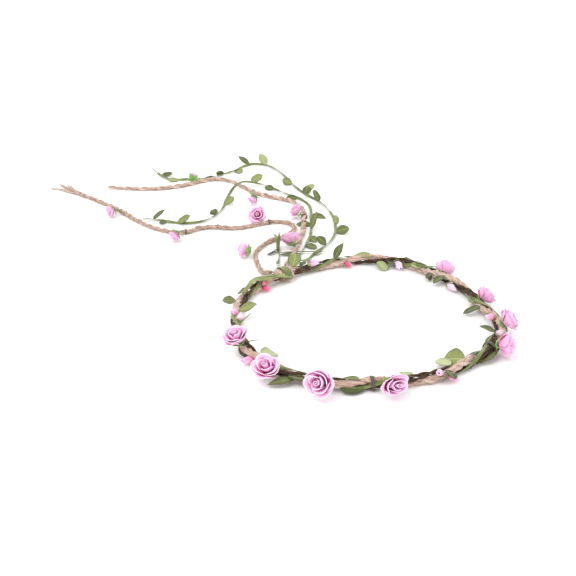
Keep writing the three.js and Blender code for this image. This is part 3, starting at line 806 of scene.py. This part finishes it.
def rose_petals(name, base, face, radius, depth, tall, spin, seed, material, slot, node):
    """Foam rose: a rolled heart inside 3, 3 and 5 overlapping petals. tall squashes it upright."""
    rng = np.random.default_rng(seed)
    pile = Pile()
    across, up = facing_axes(face, 0)
    thick = 0.088 * radius

    def place(x, y, z):
        turned = x * math.cos(spin) - y * math.sin(spin), x * math.sin(spin) + y * math.cos(spin)
        return base + turned[0][..., None] * across + tall * turned[1][..., None] * up + z[..., None] * face

    add_spiral(pile, place, 0.27 * radius, 0.98 * depth, 1.9, rng)
    for order, (count, span, low, belly, rim, height, point, roll, tuck) in enumerate(PETAL_LAYERS):
        for petal in range(count):
            start = 2 * math.pi * (petal + 0.37 * order) / count + rng.uniform(-0.15, 0.15)
            radii = (low * radius, belly * radius, rim * radius * rng.uniform(0.93, 1.06))
            top = height * depth * rng.uniform(0.94, 1.03)
            corner, curl = point * radius * rng.uniform(0.5, 1.3), roll * radius * rng.uniform(0.6, 1.4)
            add_petal(pile, place, start, math.radians(span), radii, top, corner, curl, tuck, rng, thick)
    piece = pile.build(name, material)
    return finish_piece(piece, slot, node, smoothing=1)


def add_sepals(pile, base, face, radius, spin, rng, reach=0.62, flare=0.16):
    """Five pointed sepals that cup the back of a bloom."""
    across, up = facing_axes(face, spin)
    rows, columns = 9, 5
    v = np.linspace(0, 1, rows)[:, None]
    u = np.linspace(-1, 1, columns)[None, :]
    for sepal in range(5):
        middle = 2 * math.pi * sepal / 5 + rng.uniform(-0.15, 0.15)
        long = reach * rng.uniform(0.85, 1.2)
        belly = 0.35 + 0.65 * np.sin(math.pi * np.minimum(v + 0.28, 1))
        width = (0.4 + 0.42 * reach) * (1 - v**1.6) * belly
        distance = radius * (0.1 + long * v) + 0 * u
        angle = middle + width * u / (0.35 + 1.0 * v)
        z = radius * (-0.2 + 0.12 * v + flare * v**3 * rng.uniform(0.2, 1.6)) - 0.03 * radius * np.abs(u)
        points = base + (distance * np.cos(angle))[..., None] * across
        points = points + (distance * np.sin(angle))[..., None] * up + (z + 0 * u)[..., None] * face
        grain = np.stack([u + 0 * v, v + 0 * u, np.full((rows, columns), rng.uniform(0, 9))], -1)
        pile.grid(points, grain, 0.35 + 0.3 * v + 0 * u + rng.uniform(-0.1, 0.15))


def make_calyx(name, base, face, size, root, seed, node, reach=0.62, tone=0.0):
    """Sepals, the small cup they grow from, and the taped stalk to the strand."""
    rng = np.random.default_rng(seed)
    leaves, stalk = Pile(), Pile()
    add_sepals(leaves, base, face, ROSE_RADIUS * size * MM, rng.uniform(0, 6), rng, reach)
    bottom = base - face * 2.0 * size * MM
    bend = bottom - face * 1.6 * size * MM
    bend = bend + (root - bend) * 0.2
    cup = np.array([base - face * step * size * MM for step in (0.5, 1.0, 1.6, 2.2, 2.9)])
    add_tube(stalk, cup, np.array([3.0, 2.7, 2.0, 1.3, 0.8]) * size * MM, 12, tone=0.25 + tone)
    if np.linalg.norm(bottom - root) > 2.2 * size * MM:
        bent = smooth_line([bottom, bend, root], 0.8 * MM)
        add_tube(stalk, bent, 0.7 * MM, 8, twist=150, tone=0.12 + tone)
    finish_piece(stalk.build(f"{name}_stalk", CALYX), "calyx_green", node)
    sepals = leaves.build(f"{name}_sepals", CALYX)
    finish_piece(sepals, "calyx_green", node, thickness=BLADE_THICKNESS, smoothing=1)
    return [f"{name}_stalk", f"{name}_sepals"]


RING_ROSES = [
    # azimuth, outward, height, facing (azimuth, elevation), size, depth, upright squash, spin
    (177, 8.2, 16.0, (190, 70), 0.80, 10.5, 1.0, 0.2),
    (-162, 11.4, 11.6, (-150, 56), 0.94, 11.0, 0.84, 1.1),
    (-142, 14.6, 12.6, (-150, 26), 0.94, 11.5, 0.86, 0.4),
    (-116, 13.6, 11, (-92, 24), 0.92, 12.5, 0.62, 2.0),
    (-61, 12.0, 10.5, (-42, 10), 0.80, 11.5, 0.95, 0.9),
    (-43, 6.4, 12.6, (-34, 38), 0.80, 10.0, 1.0, 1.6),
    (-17, 6.4, 9.6, (-10, 40), 0.76, 9.5, 0.95, 0.1),
    (15, 6.4, 9.2, (32, 36), 0.80, 9.5, 0.9, 0.7),
]

TAIL_ROSES = [
    # cord point that holds the rose, centre of the bloom, facing, size, depth, sepal reach, spin
    ((-9, 149), (-18, 147, 7.0), (124, -5), 0.58, 8.0, 1.15, 0.3),
    ((33, 201), (32, 209, 8.0), (236, 30), 0.76, 8.5, 0.62, 1.2),
    ((-42, 221), (-53, 208, 5.8), (185, -45), 0.50, 7.0, 1.5, 0.8),
    ((-66, 301), (-79, 293, 6.4), (175, -12), 0.54, 7.5, 1.0, 0.1),
    ((29, 138), (26, 142, 10.0), (80, 45), 0.78, 9.0, 0.75, 1.9),
    ((72, 192), (67, 199, 8.5), (130, 35), 0.68, 8.5, 0.75, 0.5),
    ((67, 284), (50, 250, 5.8), (200, -45), 0.46, 7.0, 1.4, 1.4),
    ((34, 334), (31, 339, 6.4), (62, 10), 0.44, 6.0, 1.6, 0.6),
]
TAIL_RADIUS = 2.1


def make_ring_roses():
    for index, (azimuth, out, height, face, size, depth, tall, spin) in enumerate(RING_ROSES, 1):
        face = pointing(*face)
        middle, _, outward, _ = ring_frame(azimuth)
        centre = middle + out * MM * outward
        centre[2] = height * MM
        base = centre - face * depth * MM / 2
        seat = base - face * GAP * MM
        root = middle + unit(seat - middle) * BUNDLE_REACH * MM
        name = f"ring_rose_{index}"
        rose_petals(
            f"{name}_petals", base, face, ROSE_RADIUS * size * MM, depth * MM, tall, spin, 100 + index, PINK,
            "foam_pink", f"{name}_bloom",
        )
        make_calyx(name, seat, face, size, root, 200 + index, f"{name}_calyx")


def make_tail_roses():
    """Returns each rose's pieces, in order, for the cords that carry them."""
    made = []
    for index, (cord_point, centre, face, size, depth, reach, spin) in enumerate(TAIL_ROSES, 1):
        face = pointing(*face)
        centre = np.array(centre) * MM + CENTRING
        base = centre - face * depth * MM / 2
        seat = base - face * GAP * MM
        cord = np.array([*cord_point, TAIL_RADIUS]) * MM + CENTRING
        root = cord + unit(seat - cord) * (TAIL_RADIUS + 0.4) * MM
        name = f"tail_rose_{index}"
        rose_petals(
            f"{name}_petals", base, face, ROSE_RADIUS * size * MM, depth * MM, 1.0, spin, 300 + index, PINK,
            "foam_pink", f"{name}_bloom",
        )
        pieces = make_calyx(name, seat, face, size, root, 400 + index, f"{name}_calyx", reach, tone=0.2)
        made.append([f"{name}_petals", *pieces])
    return made


BUDS = [
    # node, azimuth, side round the bundle, distance to its middle, heading and lift, radius, length, slot
    ("pale_bud_back", 36, 184, 6.4, -110, -8, 3.3, 11, "bud_pale"),
    ("hot_bud_back", 62.5, 188, 6, -60, 0, 2.4, 7.5, "bud_hot"),
    ("pink_bud_back", 81, 118, 5.6, -30, 4, 3.0, 9.5, "bud_pink"),
    ("hot_bud_upper", 114, 150, 5.5, 210, -10, 2.0, 5, "bud_hot"),
    ("hot_bud_lower", 114, 190, 6.5, -50, -5, 2.5, 7, "bud_hot"),
    ("pink_bud_left_a", 150, 86, 5.6, 120, 60, 2.3, 6.5, "bud_pink"),
    ("pink_bud_left_b", 154.5, 124, 6.2, 40, 60, 2.4, 6.5, "bud_pale"),
    ("hot_bud_front_left", -175, -5, 6.6, 160, 8, 2.9, 9, "bud_pink"),
    ("pink_bud_front", -96, 45, 6.5, -140, 25, 2.5, 6.5, "bud_pink"),
    ("pink_flower_front", -90, -5, 7, -65, -12, 2.8, 8, "bud_pink"),
    ("pink_bud_right", -36, 145, 6.0, 140, 5, 2.7, 8, "bud_pink"),
    ("pale_bud_right", 2, 186, 6.5, -88, -12, 2.7, 10, "bud_pale"),
    ("white_bud_right", -53.5, 75, 6.5, -50, 45, 2.1, 5.5, "bud_pale"),
]
BUD_MATERIALS = {"bud_pink": BUD_PINK, "bud_hot": BUD_HOT, "bud_pale": BUD_PALE}
BUD_LAYERS = [(2, 0.62), (3, 0.82), (3, 1.0)]


def make_bud(index, node, azimuth, side, distance, heading, lift, radius, length, slot):
    """Furled bud: petals wrapped round each other on a short green stalk."""
    rng = np.random.default_rng(500 + index)
    face = pointing(heading, lift)
    radius, length = radius * MM, length * MM
    centre = beside_ring(azimuth, distance, side)
    centre[2] = max(centre[2], radius + 0.3 * MM)
    base = centre - face * length / 2
    across, up = facing_axes(face, rng.uniform(0, 6))

    def place(x, y, z):
        return base + x[..., None] * across + y[..., None] * up + z[..., None] * face

    pile, cup, stem = Pile(), Pile(), Pile()
    for layer, (count, share) in enumerate(BUD_LAYERS):
        for petal in range(count):
            start = 2 * math.pi * petal / count + layer * 0.9
            radii = (0.25 * radius, 1.5 * share * radius, 0.34 * share * radius)
            tall = length * (1.02 - 0.1 * layer)
            add_petal(
                pile, place, start, math.radians(200), radii, tall, 0.0, 0.12 * radius, 0.12, rng, 0.35 * MM
            )
    finish_piece(pile.build(f"{node}_petals", BUD_MATERIALS[slot]), slot, node, smoothing=1)
    add_sepals(cup, base + face * 0.15 * radius, face, 1.3 * radius, 0.4, rng, reach=0.9, flare=0.9)
    finish_piece(cup.build(f"{node}_sepals", CALYX), "calyx_green", node, thickness=0.25 * MM, smoothing=1)
    root = beside_ring(azimuth, BUNDLE_REACH - 2, side)
    wire = smooth_line([root, (root + base) / 2, base + face * 0.2 * radius], 0.6 * MM)
    add_tube(stem, wire, 0.55 * MM, 6, tone=0.2)
    finish_piece(stem.build(f"{node}_stem", CALYX), "calyx_green", node)


# ---- knot ----------------------------------------------------------------------------------


def winding(azimuth, across, tall, turns, pitch, start):
    """Flattened coil round the bundle; across and tall are its half sizes."""
    centre, along, out, up = ring_frame(azimuth)
    turn = np.linspace(0, turns, round(turns * 40))
    angle = np.radians(start) + 2 * math.pi * turn
    line = centre + (pitch * MM * (turn - turns / 2))[:, None] * along
    line = line + across * MM * np.cos(angle)[:, None] * out + tall * MM * np.sin(angle)[:, None] * up
    return centre, resampled(line, 1.0 * MM)


KNOT_BAND = [
    # the green ribbon that leaves the knot along the bundle: azimuth, distance, side
    (97, 7.0, 175), (101, 7.2, 160), (105, 6.8, 145), (109, 6.6, 130), (113, 6.6, 115), (118, 7.2, 95),
    (123, 7.4, 95), (128, 6.0, 95), (131, 4.4, 90),
]
SPIKES = [
    # bare leaf stalks: azimuth and side on the bundle, heading, lift, length
    (158.5, 130, -4, 40, 13), (175.5, 100, -20, 12, 10), (22, 70, -30, 0, 10), (-33, 150, 120, 20, 9),
]


def make_knot():
    rng = np.random.default_rng(41)
    pile = Pile()
    _, line = winding(KNOT_AZIMUTH, 5.9, 3.4, 2.2, 5.0, 60)
    line = lay_on_table(line, 1.6 * MM)
    add_rope(pile, line, 1.9 * MM, 3, 19 * MM, rng)
    add_fuzz(pile, line, 2.0 * MM, 40, rng)
    finish_piece(pile.build("knot_jute", JUTE), "jute", "knot_jute_turns")
    pile = Pile()
    centre, line = winding(KNOT_AZIMUTH, 7.4, 5.5, 0.5, 3, 25)
    add_ribbon(pile, line, unit(line - centre), 6.0 * MM, rng)
    line = smooth_line([beside_ring(*place) for place in KNOT_BAND], 1.2 * MM)
    normals = np.repeat([[-0.3, -0.45, 0.84]], len(line), 0)
    normals[-12:] = [0.6, -0.5, 0.3]
    add_ribbon(pile, line, normals, 3.8 * MM, rng, tone=0.8)
    finish_piece(pile.build("knot_ribbon", RIBBON), "leaf_green", "knot_ribbon_turn")


def make_spikes():
    pile = Pile()
    for azimuth, side, heading, lift, length in SPIKES:
        root = beside_ring(azimuth, BUNDLE_REACH - 1, side)
        tip = pointing(heading, lift)
        places = np.linspace(0, 1, 8)[:, None]
        line = root + tip * length * MM * places - np.array([0, 0, 1.5 * MM]) * places**2
        add_tube(pile, line, 0.42 * MM * (1 - 0.6 * places[:, 0]), 6, tone=0.15)
    finish_piece(pile.build("ring_leaf_stalks", RIBBON), "leaf_green", "leaf_ribbon")


# ---- thread ties ---------------------------------------------------------------------------

RING_TIES = [(-123, 4), (-61.5, 4)]


def add_tie(pile, centre, along, radius, turns, rng):
    """Thin dark thread wound tightly round a strand."""
    side = unit(np.cross(along, [0.0, 0.0, 1.0]))
    up = np.cross(side, along)
    turn = np.linspace(0, turns, turns * 16)
    angle = 2 * math.pi * turn
    shift = (turn - turns / 2) * 0.75 * MM
    reach = radius * (1 + wander(turn, rng, 0.08, 1.3))
    line = centre + shift[:, None] * along
    line = line + (reach * np.cos(angle))[:, None] * side + (reach * np.sin(angle))[:, None] * up
    line[:, 2] = np.maximum(line[:, 2], 0.45 * MM)
    add_tube(pile, line, 0.33 * MM, 6, tone=0.3)


def make_ring_ties():
    rng = np.random.default_rng(51)
    pile = Pile()
    for azimuth, turns in RING_TIES:
        centre, along, _, _ = ring_frame(azimuth)
        add_tie(pile, centre, along, 4.7 * MM, turns, rng)
    return finish_piece(pile.build("ring_ties", TIE), "brown_vine", "brown_vine_a")


# ---- tails ---------------------------------------------------------------------------------

JUTE_TAILS = {
    "jute_tail_frayed": [
        [-20, 99, 6], [-22, 106, 3.4], [-20, 116, 2.1], [-14, 132, 2.1], [-6, 147, 2.1], [4, 155, 2.1],
        [16, 161, 2.1], [28, 163, 2.1], [40, 166, 2.1], [50, 174, 2.1], [54, 185, 2.1], [49, 195, 2.1],
        [39, 200, 2.1], [27, 201, 2.1], [12, 202, 2.1], [0, 208, 2.1], [-10, 217, 2.1], [-22, 221, 2.1],
        [-35, 219, 2.1], [-47, 227, 2.1], [-56, 242, 2.1], [-61, 261, 2.1], [-64, 281, 2.1],
        [-66, 301, 2.1], [-71, 324, 2.1], [-76, 344, 2.1], [-82, 364, 2.1], [-87, 384, 2.1], [-90, 402, 2.1],
    ],
    "jute_tail_blunt": [
        [-2, 104, 6], [3, 110, 4], [11, 119, 2.3], [23, 131, 2.1], [39, 148, 2.1], [54, 166, 2.1],
        [68, 186, 2.1], [80, 204, 2.1], [86, 222, 2.1], [85, 238, 2.1], [78, 252, 2.1], [71, 266, 2.1],
        [67, 284, 2.1], [66, 303, 2.1], [63, 321, 2.1], [53, 333, 2.1], [38, 335, 2.1], [22, 333, 2.1],
        [6, 334, 2.1], [-10, 338, 2.1], [-24, 346, 2.1], [-38, 357, 2.1], [-51, 368, 2.1],
    ],
}

RIBBON_TAILS = {
    "ribbon_tail_short": {
        "route": [
            [-10, 105, 9], [-7, 111, 5.5], [-2, 118, 2.4], [5, 127, 1.4], [11, 136, 1.4], [15, 145, 1.9],
            [19, 153, 4.4], [22, 161, 6.2], [25, 168, 4.6], [29, 175, 1.6],
        ],
        "leaves": [
            (46, -160, 2, -35, 15, 8, 0.2),
            (47, 37, 75, 25, 15, 3, 0.35),
            (36, -32, 4, -15, 18, 4, 0.3),
            (40, -30, 3, 0, 40, 2.0, 0.4),
        ],
    },
    "ribbon_tail_long": {
        "route": [
            [8, 100, 9], [15, 104, 5.5], [24, 111, 2.2], [35, 119, 1.4], [47, 125, 1.4], [62, 134, 1.4],
            [77, 148, 1.4], [90, 167, 1.4], [100, 187, 1.4], [106, 205, 1.4], [109, 224, 1.4],
            [109, 243, 1.4], [111, 264, 1.4], [116, 286, 1.4], [121, 308, 1.4], [124, 328, 1.4],
            [122, 346, 1.4], [112, 357, 1.4], [98, 354, 1.4], [84, 347, 1.4], [70, 344, 1.4],
            [57, 342, 1.4], [46, 341.5, 1.4], [38, 345, 1.4], [30, 349, 1.4], [21, 352.5, 1.4],
            [14, 358.5, 1.4], [11, 369, 1.4], [11, 384, 1.4],
        ],
        "leaves": [
            (32, 10, 12, 10, 11, 6, 0.35),
            (55, 128, 45, 30, 11, 8, 0.35),
            (87, -39, 21, -35, 13, 10, 0.4),
            (105, -115, 75, 35, 11, 7, 0.8),
            (167, 180, 70, -25, 14, 8, 0.45),
            (190, -113, 60, 10, 13, 9, 0.5),
            (197, -14, 33, -35, 14, 8, 0.8),
            (225, 141, 19, 45, 11, 9, 0.55),
            (292, 106, 56, 30, 14, 9, 0.85),
            (312, 136, 38, 30, 15, 7, 0.3),
            (329, -128, -2, 0, 15, 9, 0.6),
            (353, 176, 12, -65, 10, 7, 0.35),
            (377, -30, 6, -25, 11, 6, 0.2),
            (404, 170, 8, 30, 13, 6, 0.75),
            (430, -20, 8, -25, 12, 7, 0.2),
            (440, 100, 18, 0, 12, 1.2, 0.3),
        ],
    },
    "ribbon_tail_middle": {
        "route": [
            [3, 100, 12.5], [9, 108, 8], [16, 116, 3.4], [26, 126, 1.4], [40, 139, 1.4], [54, 154, 1.4],
            [67, 172, 1.4], [80, 192, 1.4], [90, 208, 1.4], [96, 222, 1.4], [97, 238, 1.4], [94, 254, 1.4],
            [91, 272, 1.4], [86, 289, 2.2], [77, 297, 4.6], [66, 299, 6.2], [55, 295, 4.4], [44, 286, 1.6],
            [32, 271, 1.4], [19, 254, 1.4], [4, 242, 1.4], [-12, 236, 1.4], [-27, 240, 1.4],
            [-38, 251, 1.4], [-47, 263, 1.4], [-56, 273, 1.4],
        ],
        "leaves": [
            (55, -70, 4, -20, 12, 7, 0.4),
            (73, -95, -3, -35, 12, 8, 0.45),
            (92, 25, 60, 15, 17, 8, 0.45),
            (103, 148, 3, 35, 14, 7, 0.35),
            (126, -56, -2, -45, 15, 7, 0.4),
            (176, 152, 4, 45, 12, 7, 0.35),
            (210, 130, 9, 35, 10, 7, 0.35),
            (238, -18, 32, -40, 14, 9, 0.65),
            (303, 3, 28, -25, 12, 8, 0.6),
            (329, -160, 34, -55, 11, 8, 0.4),
            (376, -39, 29, -30, 14, 9, 0.55),
            (387, -166, 5, 20, 8, 5, 0.2),
            (400, -6, 36, -15, 14, 6, 0.3),
        ],
    },
}


def route_line(route, spacing):
    return smooth_line(np.array(route) * MM + CENTRING, spacing)


TAIL_TIES = {"jute_tail_frayed": (150, 232), "jute_tail_blunt": (118,)}


def make_tail_ties(name, line):
    rng = np.random.default_rng(52)
    pile = Pile()
    reach = lengths_along(line)
    tangents = unit(np.gradient(line, axis=0))
    for distance in TAIL_TIES[name]:
        index = int(np.searchsorted(reach, distance * MM))
        add_tie(pile, line[index], tangents[index], 2.5 * MM, 2, rng)
    return finish_piece(pile.build(f"{name}_ties", TIE), "brown_vine")


def make_frayed_end(line):
    """The last plies come apart into two forks of thin yarns on the table."""
    rng = np.random.default_rng(61)
    pile = Pile()
    tangent = unit(line[-20] - line[-36])
    across = unit(np.cross(tangent, [0.0, 0.0, 1.0]))
    for yarn in range(10):
        places = np.linspace(0, 1, 18)[:, None]
        fork = -1 if yarn % 2 else 1
        length = rng.uniform(30, 41) * MM
        start = line[-34] + across * fork * rng.uniform(0.2, 1.2) * MM
        bend = across * (fork * rng.uniform(5, 8) + rng.uniform(-1.5, 1.5)) * MM
        wave = across * 0.9 * MM * np.sin(places * rng.uniform(6, 14))
        path = start + tangent * length * places + bend * places**1.3 + wave * places
        path[:, 2] = 0.5 * MM + 1.5 * MM * (1 - places[:, 0]) + 0.5 * MM * rng.uniform(0, 1)
        add_tube(pile, path, rng.uniform(0.4, 0.7) * MM * (1 - 0.6 * places[:, 0]), 5, twist=200, tone=0.5)
    return finish_piece(pile.build("frayed_yarns", JUTE), "jute")


def make_jute_tail(name, route, taper, seed):
    """Two-ply tail. taper is the share of its thickness left at its very end."""
    rng = np.random.default_rng(seed)
    pile = Pile()
    line = route_line(route, 1.2 * MM)
    along = lengths_along(line)
    past = np.clip((along - along[-1]) / (38 * MM) + 1, 0, 1)
    uneven = 1 + 0.1 * np.sin(along / (17 * MM) + seed)
    add_rope(pile, line, 2.2 * MM * uneven * (1 - (1 - taper) * past**1.3), 2, 17 * MM, rng, ply_share=0.57)
    add_fuzz(pile, line, 2.1 * MM, 150, rng, reach_out=1.6 * MM)
    piece = finish_piece(pile.build(f"{name}_rope", JUTE), "jute", name)
    return line


def make_ribbon_tail(name, route, leaves, seed):
    rng = np.random.default_rng(seed)
    ribbon, blades = Pile(), Pile()
    line = route_line(route, 1.4 * MM)
    reach = lengths_along(line)
    tangents = unit(np.gradient(line, axis=0))
    across = unit(np.cross(tangents, [0.0, 0.0, 1.0]))
    lean = wander(reach, rng, 1.3, 0.11)[:, None]
    normals = np.cos(lean) * np.cross(across, tangents) + np.sin(lean) * across
    add_ribbon(ribbon, line, normals, 2.5 * MM, rng)
    for distance, heading, lift, roll, length, width, tone in leaves:
        index = min(int(np.searchsorted(reach, distance * MM)), len(line) - 1)
        tip = pointing(heading, lift)
        add_leaf(
            blades, line[index] + tip * 0.4 * MM, tip, leaf_across(tip, roll), length * MM, width * MM,
            tone, rng, cup=0.12, droop=0.03,
        )
    leaf_piece = finish_piece(
        blades.build(f"{name}_leaves", LEAF), "leaf_green", name, thickness=BLADE_THICKNESS, smoothing=1
    )
    piece = finish_piece(ribbon.build(f"{name}_band", RIBBON), "leaf_green", name)


def make_tails():
    roses = make_tail_roses()
    on_frayed = [name for index in (0, 1, 2, 3) for name in roses[index]]
    frayed_line = route_line(JUTE_TAILS["jute_tail_frayed"], 1.2 * MM)
    blunt_line = route_line(JUTE_TAILS["jute_tail_blunt"], 1.2 * MM)
    frayed_ties = make_tail_ties("jute_tail_frayed", frayed_line)
    blunt_ties = make_tail_ties("jute_tail_blunt", blunt_line)
    objects = bpy.data.objects
    frayed_pieces = [make_frayed_end(frayed_line), frayed_ties, *(objects[name] for name in on_frayed)]
    make_jute_tail("jute_tail_frayed", JUTE_TAILS["jute_tail_frayed"], 0.3, 71)
    make_jute_tail("jute_tail_blunt", JUTE_TAILS["jute_tail_blunt"], 0.7, 72)
    for seed, (name, tail) in enumerate(RIBBON_TAILS.items(), 81):
        make_ribbon_tail(name, tail["route"], tail["leaves"], seed)


# ---- studio --------------------------------------------------------------------------------


def make_studio():
    scene = bpy.context.scene
    scene.view_settings.view_transform = "Standard"
    scene.view_settings.exposure = 0.22
    world = bpy.data.worlds.new("studio")
    scene.world = world
    world.use_nodes = True
    world.node_tree.nodes["Background"].inputs["Color"].default_value = (1.0, 1.0, 1.0, 1.0)
    world.node_tree.nodes["Background"].inputs["Strength"].default_value = 0.95

    mesh = bpy.data.meshes.new("floor")
    half = 40.0
    corners = [(-half, -half, 0), (half, -half, 0), (half, half, 0), (-half, half, 0)]
    mesh.from_pydata(corners, [], [(0, 1, 2, 3)])
    floor = bpy.data.objects.new("floor", mesh)
    bpy.context.collection.objects.link(floor)
    f = Finish("floor", 0.9, Specular_IOR_Level=0.1)
    f.colour(srgb(252, 252, 252))
    mesh.materials.append(f.material)

    for name, place, size, power in (
        ("key", (-0.9, -0.1, 1.3), 0.8, 7.0),
        ("fill", (0.9, -0.6, 0.9), 1.2, 2.5),
    ):
        light = bpy.data.lights.new(name, "AREA")
        light.size = size
        light.energy = power
        lamp = bpy.data.objects.new(name, light)
        lamp.location = place
        lamp.rotation_euler = (Vector((0, 0.05, 0)) - Vector(place)).to_track_quat("-Z", "Y").to_euler()
        bpy.context.collection.objects.link(lamp)


# ---- assembly ------------------------------------------------------------------------------

make_tails()
make_ring_jute()
make_ring_vine("brown_vine_a", 136, 21)
make_ring_vine("brown_vine_b", 196, 22)
make_ring_ribbon()
make_ring_leaves()
make_ring_roses()
for index, bud in enumerate(BUDS):
    make_bud(index, *bud)
make_knot()
make_spikes()
make_ring_ties()
frame["nodes"]["frame_wire"].data.materials.clear()
frame["nodes"]["frame_wire"].data.materials.append(WIRE)
make_studio()
